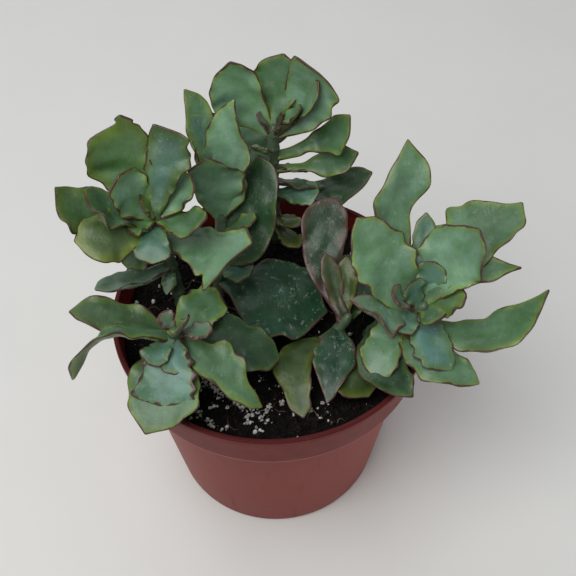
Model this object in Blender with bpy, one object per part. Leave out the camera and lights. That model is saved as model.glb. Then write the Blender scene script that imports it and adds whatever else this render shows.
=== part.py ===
"""A potted crassula: a thin plastic nursery pot, its soil, and six leafy stems with thick wavy-edged leaves.

Lengths in the tables are millimetres; objects are built in metres. The origin is the centre of the pot's
underside, +Z is up and the plant is seen from -Y.
"""

from collections import namedtuple
import math
import random

import bmesh
import bpy
import numpy as np

MM = 0.001

# Pot
RIM_RADIUS = 60.0
POT_HEIGHT = 93.0
LIP_WIDTH = 1.9
LIP_HEIGHT = 2.6
LIP_ROUND = 0.6
COLLAR_HEIGHT = 17.2
COLLAR_TOP_RADIUS = 59.2
COLLAR_FOOT_RADIUS = 57.7
BODY_TOP_RADIUS = 53.5
BASE_RADIUS = 43.7
BASE_ROUND = 2.5
FLOOR_ROUND = 1.4
STEP_SLOPE = 0.4
WALL = 1.3
FLOOR = 2.0
DRAIN_HOLES = 8
DRAIN_RADIUS = 3.6
DRAIN_RING_RADIUS = 34.0
DRAIN_SIDES = 12
POT_SIDES = 48

# Soil
SOIL_DEPTH_BELOW_RIM = 9.5
SOIL_BUMP = 1.1
EDGE_SHARE = 0.4
SOIL_RINGS = 8
SOIL_SIDES = 36
SOIL_SEED = 11
GAP = 0.3

# Stems and leaves
STEM_SIDES = 8
STEM_RINGS = 6
ROW_SPACING = 5.1
FEWEST_ROWS = 5
MOST_ROWS = 8
BLADE_COLUMNS = 5
CURL_STEPS = 24
THICKNESS_AT = (0, 0.25, 0.6, 1)
MIDDLE_THICKNESS = (3.2, 2.4, 2.0, 1.0)
MARGIN_THICKNESS = (2.4, 1.0, 0.8, 0.7)
WAVE_HEIGHT = 1.9
WAVES = 2.2

SHORT_EDGE = 0.005
SMOOTH_ANGLE = math.radians(35)

Stem = namedtuple("Stem", "radius path leaves")
Leaf = namedtuple(
    "Leaf",
    "height tip left right left_curl right_curl roll bow sweep twist late",
    defaults=(0, 0.0, 0.0, 0, 1),
)

# A side's widths and curls are given at these shares of the leaf's length; past the last it rounds off.
SIDE_AT = (0.2, 0.4, 0.6, 0.8, 0.93)
POINT_ROUND = 0.6
ROOT_HALF = 2.2
POINT_HALF = 0.6


def oval(half):
    """Half widths of the usual leaf, widest past its middle."""
    return tuple(half * share for share in (0.52, 0.82, 1.0, 0.86, 0.5))


def blunt(half):
    """Half widths of a leaf that stays wide until near its point."""
    return tuple(half * share for share in (0.45, 0.72, 0.92, 1.0, 0.72))


def lance(half):
    """Half widths of a leaf that narrows early to a long point."""
    return tuple(half * share for share in (0.75, 1.0, 0.92, 0.6, 0.3))


def cup(angle):
    """Curls of a margin that turns up most at its middle."""
    return tuple(angle * share for share in (0.5, 0.9, 1.0, 0.8, 0.4))


def back_stem():
    """The tall stem at the back: bare, with a cupped whorl on top and tiers of leaves to the right."""
    return Stem(2.4, ((3, 40, 73), (1, 44, 112), (2, 45, 141)), (
        Leaf(137, (-13, 50, 166), (9, 15, 16, 13, 7), (2, 3.5, 5, 5, 3), (10, 25, 5, 30, 10),
            cup(20), roll=80, bow=-0.08),
        Leaf(139, (6, 56, 165), (3, 7, 10, 9.5, 5), (3, 6.5, 9, 8, 4), (10, 35, 10, 40, 10),
            (10, 30, 0, 30, 10), bow=-0.05),
        Leaf(136, (10, 50, 168), (2, 2, 1.5, 1.5, 1.5), (12, 17, 19, 18, 11), cup(70),
            (15, 35, 15, 40, 25), roll=-35, bow=-0.1),
        Leaf(138, (18, 45, 161), blunt(5), blunt(6), cup(80), cup(50), roll=-20, bow=-0.1),
        Leaf(138, (12, 43, 151), blunt(4), blunt(4), cup(40), cup(50)),
        Leaf(138, (5, 45, 146), blunt(5.5), blunt(5.5), cup(70), cup(70)),
        Leaf(137, (-4, 45, 147), blunt(3), blunt(3), cup(50), cup(40)),
        Leaf(129, (-7, 42, 134), oval(4), oval(4), cup(30), cup(20), roll=-30),
        Leaf(127, (30, 46, 145), (1.5, 2, 3.5, 4, 2), (3, 4.5, 9, 10, 5), (10, 30, 50, 20, 0),
            (0, 10, 40, 30, 10), roll=-35, bow=-0.18),
        Leaf(121, (34, 45, 128), (1.5, 2, 5.5, 6.5, 2.5), (2, 3, 6.5, 6.5, 4), (10, 10, 30, 50, 20),
            (10, 30, 10, 0, 20), roll=-20, bow=-0.08),
        Leaf(115, (21, 41, 114), oval(4.5), oval(4.5), cup(10), cup(20), roll=20),
        Leaf(109, (19, 37, 115), blunt(5), blunt(6), cup(10), cup(0), roll=-20),
        Leaf(107, (40, 46, 117), (3, 5, 6.5, 7, 4), (3, 5, 7.5, 8, 4), (10, 40, 20, 40, 10),
            (0, 30, 5, 30, 10), roll=-10, bow=-0.12),
        Leaf(122, (16, 46, 119), oval(2.5), oval(2.5), cup(20), cup(20)),
        Leaf(134, (14, 66, 146), oval(9), oval(9), cup(20), cup(40)),
        Leaf(116, (-12, 66, 126), oval(9), oval(8), cup(30), cup(20)),
        Leaf(97, (11, 29, 105), oval(4.5), oval(4.5), cup(20), cup(20)),
        Leaf(92, (11, 24, 98), oval(4.5), oval(4.5), cup(20), cup(20)),
    ))


def left_stem():
    """The stem over the pot's left side, with the broad toothed leaf at the back."""
    return Stem(2.6, ((-34, 6, 73), (-38, 9, 112), (-40, 9, 132)), (
        Leaf(131, (-49, 24, 164), (7, 14, 17, 15, 9), (6, 8, 7, 6, 4), (5, 25, 0, 30, 0),
            (10, 35, 10, 35, 20), roll=20, bow=-0.08),
        Leaf(131, (-38, 24, 160), (3.5, 4.5, 3.5, 2.5, 1.5), (5, 9, 12, 12.5, 9), cup(30),
            (10, 30, 10, 30, 10), bow=-0.05),
        Leaf(128, (-73, 12, 143), (5, 9, 13, 15, 8), (5, 7, 7, 6, 3), (0, 25, 0, 25, 0),
            (20, 45, 15, 40, 10), bow=-0.12),
        Leaf(129, (-62, 8, 145), (6, 9, 11, 10, 6), (5, 6, 6.5, 6, 4), (40, 70, 40, 60, 20),
            (10, 40, 10, 30, 10), bow=-0.12),
        Leaf(130, (-50, 11, 149), (5, 8, 9, 8, 6), (4, 6, 7, 7, 5), cup(40), cup(40), roll=30, bow=-0.1),
        Leaf(130, (-44, 8, 140), blunt(5), blunt(5), cup(40), cup(40)),
        Leaf(130, (-49, 2, 132), blunt(6), blunt(6), cup(60), cup(60)),
        Leaf(123, (-66, -4, 133), (4, 7, 10, 9, 5), (5, 8, 9, 8, 5), (0, 10, -20, 10, 0),
            (0, -25, -10, -30, 0), roll=30, bow=0.12),
        Leaf(127, (-40, -8, 125), blunt(6.5), blunt(6.5), cup(10), cup(10), bow=0.15),
        Leaf(116, (-54, 4, 113), oval(7), oval(7), cup(10), cup(10)),
        Leaf(130, (-21, 2, 137), (4, 6, 7, 6, 3), (4, 7, 8.5, 8, 4), (30, 70, 40, 60, 20),
            (40, 60, 20, 40, 10), bow=-0.12),
        Leaf(130, (-27, 19, 142), (4, 6, 7, 6, 3.5), (4, 7, 8, 7, 4), cup(60), cup(60), bow=-0.08),
        Leaf(121, (-6, 0, 126), (5, 5.5, 5, 5.5, 6), (8, 12, 17.5, 22, 9), (0, 10, 20, 60, 120),
            (0, 15, 0, 10, 60)),
        Leaf(106, (-63, -6, 110), (4, 6, 6, 4, 2), (3, 5, 5.5, 4.5, 3), (60, 95, 95, 60, 20),
            cup(20), bow=-0.05),
        Leaf(104, (-39, 0, 99), lance(3), lance(3), cup(0), cup(10)),
        Leaf(122, (-45, 36, 140), oval(8), oval(8), cup(20), cup(30)),
        Leaf(110, (-60, 24, 118), oval(7), oval(7), cup(20), cup(10)),
    ))


def front_stem():
    """The low stem at the left front, whose leaves hang over the rim."""
    return Stem(2.6, ((-22, -19, 73), (-31, -25, 102), (-32, -31, 117)), (
        Leaf(108, (-67, -25, 121), (4, 6, 6.5, 5, 3), (4, 6, 7, 7, 4), (0, 20, 0, 20, 0),
            (20, 40, 10, 40, 20), bow=0.08),
        Leaf(108, (-15, -16, 110), (6, 10, 12, 12, 8), (4, 5.5, 5, 4, 2.5), cup(20), cup(10), sweep=-0.12),
        Leaf(112, (-64, -47, 113), (4, 6, 6, 5, 4), (4, 6, 6.5, 6, 4.5), (10, 30, 0, 20, 30),
            (0, 20, 10, 30, 40), bow=0.3, sweep=0.08, twist=-70, late=1.5),
        Leaf(106, (-41, -60, 100), (8, 13, 15.5, 13, 6), (7, 10, 10.5, 7.5, 3.5),
            (0, 20, 0, 20, 10), (10, 20, 0, 20, 0), bow=0.12),
        Leaf(113, (-35, -53, 105), (5, 8, 9.5, 10, 9), (4.5, 7, 9, 10, 9), (0, 20, 0, 40, -20),
            (0, 10, 30, 40, -10), bow=0.12),
        Leaf(114, (-40, -42, 114), blunt(5), blunt(5), cup(40), cup(40)),
        Leaf(114, (-31, -45, 112), blunt(4.5), blunt(4.5), cup(30), cup(40)),
        Leaf(115, (-36, -26, 121), blunt(3.5), blunt(3.5), cup(60), cup(60)),
        Leaf(115, (-28, -33, 123), blunt(5), blunt(5), cup(60), cup(60)),
        Leaf(114, (-19, -31, 118), blunt(3.5), blunt(4.5), cup(60), cup(60)),
        Leaf(111, (-3, -51, 101), (5, 10, 10, 4.5, 2.5), (4, 5, 4, 3.5, 2.5), (10, 50, 50, 10, 30),
            (10, 10, 30, 0, 20), bow=0.12, sweep=0.08, late=1.3),
        Leaf(103, (3, -30, 99), (7, 12, 12, 8, 5), (6, 9, 10, 9, 6), (0, 20, 0, 25, 0),
            (10, 20, 0, 20, 10), bow=0.1),
    ))


def right_stem():
    """The stem that leans over the pot's right side, with the longest leaves."""
    return Stem(2.8, ((34, -5, 73), (43, -12, 97), (54, -17, 111)), (
        Leaf(107, (49, 27, 149), (6, 10, 9, 4, 1.5), (4, 4.5, 6, 11, 7), (10, 30, 20, 10, 0),
            (10, 20, 0, 30, 20), roll=-10, sweep=-0.09),
        Leaf(107, (30, 2, 136), (8, 10, 11, 8, 4), (7, 10, 10.5, 8, 5), (0, 30, 0, 30, 10),
            (10, 40, 10, 40, 20), roll=25),
        Leaf(108, (87, 6, 138), (4, 10, 16, 13, 3), (5, 7, 8, 8.5, 6), (0, 15, 0, 20, 0),
            (10, 40, 10, 35, 10), bow=0.06),
        Leaf(109, (55, 8, 132), (2, 3, 4, 4, 2.5), (2, 3, 4, 4, 2.5), cup(20), cup(20)),
        Leaf(109, (63, 5, 128), oval(5), oval(5), cup(40), cup(20)),
        Leaf(108, (69, -10, 142), (8, 14, 14.5, 10, 4.5), (4, 7.5, 10.5, 9.5, 5), (0, 20, 0, 20, 0),
            (30, 50, 20, 50, 20), roll=-20, bow=-0.1),
        Leaf(105, (85, -14, 127), (3, 6, 9, 6, 1.5), (2, 3, 3.5, 5, 2), (0, 20, 10, 50, 60),
            (10, 20, 0, 40, 50), bow=0.12, late=1.5),
        Leaf(105, (95, -18, 120), (4, 6.5, 8, 6.5, 3), (4, 7.5, 9, 7, 2.5), (0, 20, 0, 20, 0),
            (10, 25, 0, 25, 10), bow=-0.15, sweep=0.19),
        Leaf(105, (62, -37, 100), (4, 6, 5.5, 4, 2.5), (5, 8, 9.5, 8.5, 4.5), (10, 30, 10, 20, 0),
            (0, 20, 0, 20, 10), bow=0.12),
        Leaf(102, (72, -39, 95), (5, 6, 6, 5, 3), (7, 11, 11, 7, 3), (0, 20, 0, 30, 10),
            (0, 20, -10, 30, 10), bow=0.1, sweep=0.12),
        Leaf(106, (28, -13, 110), (11, 16, 12, 6, 2), (3, 3, 3, 3, 1.5), (10, 40, 75, 70, 30),
            cup(20), bow=0.06),
        Leaf(103, (36, -39, 97), (3, 4, 5, 5, 3), (6, 8, 9, 8, 3.5), (0, 30, 0, 20, 0),
            (10, 30, 0, 40, 30), bow=0.1),
        Leaf(88, (48, -46, 98), (5, 7, 8, 7, 4), (4, 7, 8.5, 8, 4), (0, 20, 0, 20, 0),
            (10, 20, 0, 30, 10), bow=0.1, sweep=0.15),
        Leaf(97, (28, 16, 102), oval(9), oval(9), cup(20), cup(20)),
        Leaf(109, (57, -8, 124), blunt(5.5), blunt(5.5), (10, 50, 10, 60, 10), (20, 60, 40, 20, 10),
            bow=-0.1),
        Leaf(109, (59, -24, 113), blunt(7), blunt(7), (10, 40, 0, 40, 10), (20, 40, 10, 30, 10)),
        Leaf(108, (42, -16, 117), blunt(5), blunt(5), (10, 40, 10, 40, 10), (10, 30, 20, 40, 20)),
        Leaf(107, (44, -26, 108), blunt(5.5), blunt(6), (10, 30, 0, 40, 10), (10, 30, 10, 30, 10)),
        Leaf(105, (49, -30, 103), blunt(4.5), blunt(4.5), cup(70), cup(80)),
        Leaf(108, (67, -19, 119), (4, 6.5, 7, 6, 4), (3, 5, 6, 5.5, 4), (10, 40, 10, 50, 20),
            (10, 30, 0, 60, 30), roll=-20),
        Leaf(109, (48, -14, 120), blunt(5.5), blunt(5), (10, 40, 0, 40, 10), (10, 30, 10, 40, 10), roll=20),
        Leaf(105, (64, 14, 120), oval(8), oval(8), cup(20), cup(20)),
    ))


def tall_stem():
    """The stem between the left and the back ones, with a fan of upright leaves and one broad low leaf."""
    return Stem(2.4, ((-20, 8, 73), (-21, 13, 90), (-19, 26, 110), (-18, 34, 126)), (
        Leaf(112, (-22, 28, 141), (5, 7, 8.5, 8, 6), (6, 10, 12, 9, 4), (0, 30, 0, 30, 20),
            (10, 40, 10, 50, 30), roll=60),
        Leaf(112, (-12, 46, 153), (6, 9, 9, 8, 4), (8, 9, 8.5, 3.5, 1), (0, 30, 5, 25, 10),
            (0, 25, 10, 60, 30)),
        Leaf(122, (-30, 51, 154), (5, 5.5, 5, 3, 1.5), (5, 7, 8, 6.5, 4), cup(20), cup(20)),
        Leaf(118, (-28, 46, 147), (4, 5, 4, 3, 2), (5, 7, 9, 10, 8), cup(20), cup(20)),
        Leaf(98, (-4, 42, 130), (7, 10, 11, 8, 5), (11, 12, 10, 8, 5), cup(10), cup(20), sweep=0.15),
        Leaf(106, (-5, 21, 118), blunt(4.5), blunt(4.5), cup(40), cup(30)),
        Leaf(96, (-8, 7, 101), blunt(5.5), blunt(5.5), cup(20), cup(20)),
        Leaf(91, (21, -4, 92), (8, 14, 16.5, 12.3, 4), (8, 18, 22, 19, 12), cup(10), cup(20), bow=0.08),
    ))


def low_stem():
    """The short stem in the middle that leans right, with small leaves and three that hang towards the soil."""
    return Stem(2.2, ((10, -14, 73), (15, -14, 83), (25, -12, 93), (28, -11, 98)), (
        Leaf(97, (25, 28, 121), (4, 8, 10, 10, 6), (3, 5, 6, 7, 5), cup(20), cup(20), sweep=-0.12),
        Leaf(95, (20, 7, 113), oval(4), oval(4), cup(40), cup(40)),
        Leaf(96, (28, 8, 110), oval(4.5), oval(4.5), cup(40), cup(30)),
        Leaf(92, (36, 3, 93), oval(4), oval(4), cup(20), cup(20), bow=0.1),
        Leaf(87, (11, -47, 87), (3, 3, 4, 3.5, 3), (8, 10, 9.5, 5.5, 3.5), (0, 30, 0, 40, 0),
            (10, 30, 0, 30, 10), bow=0.15, sweep=0.12),
        Leaf(92, (19, -43, 90), (4, 6, 5, 2.5, 1.5), (7, 10, 9, 5.5, 2), (10, 40, 10, 30, 10),
            (10, 30, 0, 40, 20), bow=0.12, sweep=-0.08),
        Leaf(88, (34, -40, 89), (4, 6, 8, 8, 5), (5, 8, 11, 10, 6), (0, 20, 0, 20, 0),
            (10, 20, 0, 30, 10), bow=0.08),
    ))


def leafy_stems():
    """Every leafy stem by the name of its object."""
    return {
        "stem_back": back_stem(),
        "stem_left": left_stem(),
        "stem_front": front_stem(),
        "stem_right": right_stem(),
        "stem_tall": tall_stem(),
        "stem_low": low_stem(),
    }


def smooth(at, values, t):
    """Reads a smooth curve through the given values at t."""
    at = np.asarray(at, float)
    values = np.asarray(values, float)
    slopes = np.gradient(values, at, axis=0)
    i = np.clip(np.searchsorted(at, t, side="right") - 1, 0, len(at) - 2)
    gap = at[i + 1] - at[i]
    u = (t - at[i]) / gap
    if values.ndim > 1:
        gap, u = gap[:, None], u[:, None]
    start, end = values[i], values[i + 1]
    ease = u * u * (3 - 2 * u)
    return start + (end - start) * ease + gap * u * (1 - u) * ((1 - u) * slopes[i] - u * slopes[i + 1])


def half_width(at, widths, t):
    """One side's width along the leaf: a smooth curve that rounds off to the point."""
    last, point = widths[-2:]
    tip = point + (last - point) * np.clip((1 - t) / (1 - at[-2]), 0, 1) ** POINT_ROUND
    return np.where(t > at[-2], tip, smooth(at, widths, t))


def unit(v):
    return v / np.linalg.norm(v, axis=-1, keepdims=True)


def turned(side, up, angle):
    """The two directions turned about the third by an angle in radians, so that the side's right end rises."""
    return side * np.cos(angle) + up * np.sin(angle), up * np.cos(angle) - side * np.sin(angle)


def stem_point(path, height):
    """The stem's middle at a height in millimetres."""
    path = np.asarray(path, float)
    return smooth(path[:, 2], path, np.atleast_1d(float(height)))[0]


def rows_along(rows):
    """Shares of a blade's length, closer together towards the tip, where its outline turns most."""
    return 1 - (1 - np.linspace(0, 1, rows)) ** 1.5


def blade_middle(root, leaf, rows, columns):
    """The blade's middle surface as rows of points from root to tip, left edge to right, with its normals."""
    t = rows_along(rows)
    across = np.linspace(-1, 1, columns)
    chord = np.subtract(leaf.tip, root)
    length = np.linalg.norm(chord)
    chord = chord / length
    side = unit(np.cross(chord, (0.0, 0.0, 1.0)))
    side, up = turned(side, np.cross(side, chord), math.radians(leaf.roll))
    arch = leaf.bow * up + leaf.sweep * side
    share = t**leaf.late
    midrib = root + length * (t[:, None] * chord + (4 * share * (1 - share))[:, None] * arch)
    along = unit(chord + ((4 - 8 * share) * leaf.late * t ** (leaf.late - 1))[:, None] * arch)
    side = unit(side - (along @ side)[:, None] * along)
    side, up = turned(side, np.cross(side, along), np.radians(leaf.twist * t)[:, None])
    at = (0, *SIDE_AT, 1)
    root_half = min(ROOT_HALF, 0.8 * max(leaf.left))
    half = [half_width(at, (root_half, *widths, POINT_HALF), t) for widths in (leaf.left, leaf.right)]
    half = np.where(across < 0, half[0][:, None], half[1][:, None])
    curl = [np.radians(smooth(at, (0, *curls, curls[-1]), t)) for curls in (leaf.left_curl, leaf.right_curl)]
    curl = np.where(across < 0, curl[0][:, None], curl[1][:, None])
    share = (np.arange(CURL_STEPS) + 0.5) / CURL_STEPS
    bend = (curl * across**2)[..., None] * share**2
    out = half * across * np.cos(bend).mean(-1)
    lift = half * np.abs(across) * np.sin(bend).mean(-1)
    wave = np.sin(2 * np.pi * WAVES * t[:, None] + leaf.height + 2 * (across > 0))
    lift += WAVE_HEIGHT * half / (half + 6) * across**2 * np.sin(np.pi * t)[:, None] * wave
    points = midrib[:, None] + out[..., None] * side[:, None] + lift[..., None] * up[:, None]
    normals = unit(np.cross(np.gradient(points, axis=1), np.gradient(points, axis=0)))
    return points, normals


def blade_rows(root, leaf):
    """How many rows of points a blade has: more on a longer one."""
    length = np.linalg.norm(np.subtract(leaf.tip, root))
    return int(np.clip(round(length / ROW_SPACING), FEWEST_ROWS, MOST_ROWS))


def blade_solid(root, leaf):
    """A blade as a closed solid: its points, and triangles alike on its upper and lower faces."""
    rows, columns = blade_rows(root, leaf), BLADE_COLUMNS
    middle, normals = blade_middle(root, leaf, rows, columns)
    t = rows_along(rows)[:, None]
    margin = smooth(THICKNESS_AT, MARGIN_THICKNESS, t)
    bulge = smooth(THICKNESS_AT, MIDDLE_THICKNESS, t) - margin
    depth = (margin + bulge * (1 - np.linspace(-1, 1, columns) ** 2)) / 2
    upper = (middle + normals * depth[..., None]).reshape(-1, 3)
    lower = (middle - normals * depth[..., None]).reshape(-1, 3)
    number = np.arange(rows * columns).reshape(rows, columns)
    middle = middle.reshape(-1, 3)
    faces = []
    corners = np.stack([number[:-1, :-1], number[:-1, 1:], number[1:, 1:], number[1:, :-1]], axis=-1)
    for a, b, c, d in corners.reshape(-1, 4):
        shorter = np.linalg.norm(middle[a] - middle[c]) <= np.linalg.norm(middle[b] - middle[d])
        faces += ((a, b, c), (a, c, d)) if shorter else ((a, b, d), (b, c, d))
    under = len(upper)
    faces += [(c + under, b + under, a + under) for a, b, c in faces]
    border = [*number[0], *number[1:, -1], *number[-1, -2::-1], *number[-2:0:-1, 0]]
    for a, b in zip(border, border[1:] + border[:1]):
        faces += ((a, a + under, b + under), (a, b + under, b))
    return np.concatenate([upper, lower]), [tuple(int(i) for i in face) for face in faces]


def ring_heights(stem):
    """The heights of the stem's rings of points."""
    return np.linspace(stem.path[0][2], stem.path[-1][2], STEM_RINGS)


def tube_solid(path, radius, heights):
    """A tube along a stem's path as a closed solid, with a ring of points at each height."""
    turn = np.linspace(0, 2 * math.pi, STEM_SIDES, endpoint=False)
    ring = radius * np.stack([np.cos(turn), np.sin(turn), 0 * turn], axis=1)
    points = np.concatenate([stem_point(path, height) + ring for height in heights])
    faces = [tuple(range(STEM_SIDES))[::-1], tuple(range(len(points) - STEM_SIDES, len(points)))]
    for low in range(0, len(points) - STEM_SIDES, STEM_SIDES):
        for k in range(STEM_SIDES):
            a, b = low + k, low + (k + 1) % STEM_SIDES
            faces.append((a, b, b + STEM_SIDES, a + STEM_SIDES))
    return points, faces


def add_object(name, points, faces):
    """A new object in the scene from points in millimetres."""
    mesh = bpy.data.meshes.new(name)
    mesh.from_pydata((np.asarray(points) * MM).tolist(), [], faces)
    added = bpy.data.objects.new(name, mesh)
    bpy.context.scene.collection.objects.link(added)
    return added


def combine(body, operation, others):
    """Joins or cuts the body with the other objects in one Boolean, and removes them."""
    group = bpy.data.collections.new("others")
    bpy.context.scene.collection.children.link(group)
    for other in others:
        bpy.context.scene.collection.objects.unlink(other)
        group.objects.link(other)
    boolean = body.modifiers.new("combine", "BOOLEAN")
    boolean.operation = operation
    boolean.operand_type = "COLLECTION"
    boolean.collection = group
    boolean.solver = "EXACT"
    graph = bpy.context.evaluated_depsgraph_get()
    mesh = bpy.data.meshes.new_from_object(body.evaluated_get(graph))
    body.modifiers.clear()
    old, body.data = body.data, mesh
    bpy.data.meshes.remove(old)
    mesh.name = body.name
    for other in others:
        bpy.data.objects.remove(other)
    bpy.data.collections.remove(group)


def keep_outer_body(body):
    """Drops loose scrap and fills sealed hollows: what stays is the one shell with the largest surface."""
    shape = bmesh.new()
    shape.from_mesh(body.data)
    left, shells = set(shape.faces), []
    while left:
        shell, front = set(), [left.pop()]
        while front:
            face = front.pop()
            shell.add(face)
            beside = {other for edge in face.edges for other in edge.link_faces} & left
            left -= beside
            front += beside
        shells.append(shell)
    shells.sort(key=lambda shell: sum(face.calc_area() for face in shell))
    scrap = [face for shell in shells[:-1] for face in shell]
    bmesh.ops.delete(shape, geom=scrap, context="FACES")
    bmesh.ops.remove_doubles(shape, verts=shape.verts, dist=SHORT_EDGE * MM)
    bmesh.ops.triangulate(shape, faces=shape.faces)
    shape.to_mesh(body.data)
    shape.free()


def round_shading(body):
    body.data.shade_smooth()
    body.data.set_sharp_from_angle(angle=SMOOTH_ANGLE)


def material(name, colour, roughness):
    made = bpy.data.materials.new(name)
    made.use_nodes = True
    shader = made.node_tree.nodes["Principled BSDF"]
    shader.inputs["Base Color"].default_value = (*colour, 1.0)
    shader.inputs["Roughness"].default_value = roughness
    shader.inputs["Metallic"].default_value = 0.0
    return made


def pot_profile():
    """Half of the pot's section as (radius, height) points, from the floor's underside round to its upper side."""
    collar_foot = POT_HEIGHT - COLLAR_HEIGHT
    lip_foot = POT_HEIGHT - LIP_HEIGHT
    lip_inner = RIM_RADIUS - LIP_WIDTH
    outside = [
        (BASE_RADIUS - BASE_ROUND, 0),
        (BASE_RADIUS - 0.3 * BASE_ROUND, 0.3 * BASE_ROUND),
        (BASE_RADIUS, BASE_ROUND),
        (BODY_TOP_RADIUS, collar_foot),
        (COLLAR_FOOT_RADIUS, collar_foot),
        (COLLAR_TOP_RADIUS, lip_foot),
        (RIM_RADIUS, lip_foot + LIP_ROUND),
        (RIM_RADIUS, POT_HEIGHT - LIP_ROUND),
        (RIM_RADIUS - LIP_ROUND, POT_HEIGHT),
    ]
    inside = [
        (lip_inner, POT_HEIGHT - LIP_ROUND),
        *inner_wall(),
    ]
    return outside + inside


def inner_wall():
    """The inside of the pot's wall as (radius, height) points, from under the lip down to the floor."""
    collar_foot = POT_HEIGHT - COLLAR_HEIGHT
    return [
        (COLLAR_TOP_RADIUS - WALL, POT_HEIGHT - LIP_HEIGHT),
        (COLLAR_FOOT_RADIUS - WALL, collar_foot + WALL),
        (BODY_TOP_RADIUS - WALL, collar_foot + WALL - STEP_SLOPE),
        (BASE_RADIUS - WALL, FLOOR + FLOOR_ROUND),
        (BASE_RADIUS - WALL - FLOOR_ROUND, FLOOR),
    ]


def lathe(name, profile, sides):
    """A solid of revolution about Z from a profile that starts and ends off the axis, with both ends closed."""
    shape = bmesh.new()
    verts = [shape.verts.new((0, 0, profile[0][1] * MM))]
    verts += [shape.verts.new((radius * MM, 0, height * MM)) for radius, height in profile]
    verts.append(shape.verts.new((0, 0, profile[-1][1] * MM)))
    edges = [shape.edges.new(pair) for pair in zip(verts, verts[1:])]
    turn = {"axis": (0, 0, 1), "cent": (0, 0, 0), "angle": 2 * math.pi, "steps": sides}
    bmesh.ops.spin(shape, geom=verts + edges, use_merge=True, **turn)
    bmesh.ops.remove_doubles(shape, verts=shape.verts, dist=0.001 * MM)
    bmesh.ops.recalc_face_normals(shape, faces=shape.faces)
    mesh = bpy.data.meshes.new(name)
    shape.to_mesh(mesh)
    shape.free()
    made = bpy.data.objects.new(name, mesh)
    bpy.context.scene.collection.objects.link(made)
    return made


def drain_cutter(number):
    shape = bmesh.new()
    turn = 2 * math.pi * number / DRAIN_HOLES
    radius = DRAIN_RADIUS * MM
    size = {"segments": DRAIN_SIDES, "radius1": radius, "radius2": radius, "depth": 4 * FLOOR * MM}
    bmesh.ops.create_cone(shape, cap_ends=True, **size)
    mesh = bpy.data.meshes.new("drain")
    shape.to_mesh(mesh)
    shape.free()
    cutter = bpy.data.objects.new("drain", mesh)
    cutter.location = (DRAIN_RING_RADIUS * MM * math.cos(turn), DRAIN_RING_RADIUS * MM * math.sin(turn), 0)
    bpy.context.scene.collection.objects.link(cutter)
    return cutter


def build_pot():
    pot = lathe("pot", pot_profile(), POT_SIDES)
    combine(pot, "DIFFERENCE", [drain_cutter(number) for number in range(DRAIN_HOLES)])
    round_shading(pot)
    pot.data.materials.append(material("terracotta_plastic", (0.25, 0.09, 0.07), 0.45))


def soil_radius(height):
    """The soil's own radius at a height: the pot's inside less the gap."""
    radii, heights = zip(*inner_wall()[::-1])
    return np.interp(height, heights, radii) - GAP


def build_soil(stems):
    """The plug of soil: a bumpy top, sides that follow the pot, and a plain hole for each stem."""
    draw = random.Random(SOIL_SEED)
    top = POT_HEIGHT - SOIL_DEPTH_BELOW_RIM
    turn = np.linspace(0, 2 * math.pi, SOIL_SIDES, endpoint=False)
    points, rings = [(0, 0, top)], 0
    for ring in range(1, SOIL_RINGS + 1):
        share = ring / SOIL_RINGS
        bump = SOIL_BUMP if ring < SOIL_RINGS else EDGE_SHARE * SOIL_BUMP
        for angle in turn:
            radius = share * soil_radius(top - SOIL_BUMP)
            height = top + bump * draw.uniform(-1, 1) - (1 - EDGE_SHARE) * SOIL_BUMP * (ring == SOIL_RINGS)
            points.append((radius * math.cos(angle), radius * math.sin(angle), height))
        rings += 1
    for radius, height in inner_wall()[1:]:
        for angle in turn:
            points.append(((radius - GAP) * math.cos(angle), (radius - GAP) * math.sin(angle), height + GAP))
        rings += 1
    faces = [(0, 1 + k, 1 + (k + 1) % SOIL_SIDES) for k in range(SOIL_SIDES)]
    for low in range(1, 1 + (rings - 1) * SOIL_SIDES, SOIL_SIDES):
        for k in range(SOIL_SIDES):
            a, b = low + k, low + (k + 1) % SOIL_SIDES
            faces.append((a, a + SOIL_SIDES, b + SOIL_SIDES, b))
    faces.append(tuple(range(len(points) - SOIL_SIDES, len(points)))[::-1])
    soil = add_object("soil", points, faces)
    cutters = []
    for stem in stems.values():
        heights = ring_heights(stem)
        heights = heights[:np.searchsorted(heights, top + 2 * SOIL_BUMP) + 1]
        heights[0] -= GAP
        cutters.append(add_object("hole", *tube_solid(stem.path, stem.radius + GAP, heights)))
    combine(soil, "DIFFERENCE", cutters)
    keep_outer_body(soil)
    soil.data.materials.append(material("potting_soil", (0.018, 0.015, 0.013), 0.95))


def build_leafy_stem(name, stem):
    body = add_object(name, *tube_solid(stem.path, stem.radius, ring_heights(stem)))
    leaves = [add_object("leaf", *blade_solid(stem_point(stem.path, leaf.height), leaf)) for leaf in stem.leaves]
    combine(body, "UNION", leaves)
    keep_outer_body(body)
    round_shading(body)
    body.data.materials.append(bpy.data.materials["crassula_leaf"])


def main():
    for old in list(bpy.data.objects):
        bpy.data.objects.remove(old)
    stems = leafy_stems()
    build_pot()
    build_soil(stems)
    material("crassula_leaf", (0.11, 0.22, 0.13), 0.45)
    for name, stem in stems.items():
        build_leafy_stem(name, stem)


if __name__ == "__main__":
    main()
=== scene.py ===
import math
from collections import namedtuple

import bmesh
import bpy
import numpy as np
from mathutils import Matrix


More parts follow.
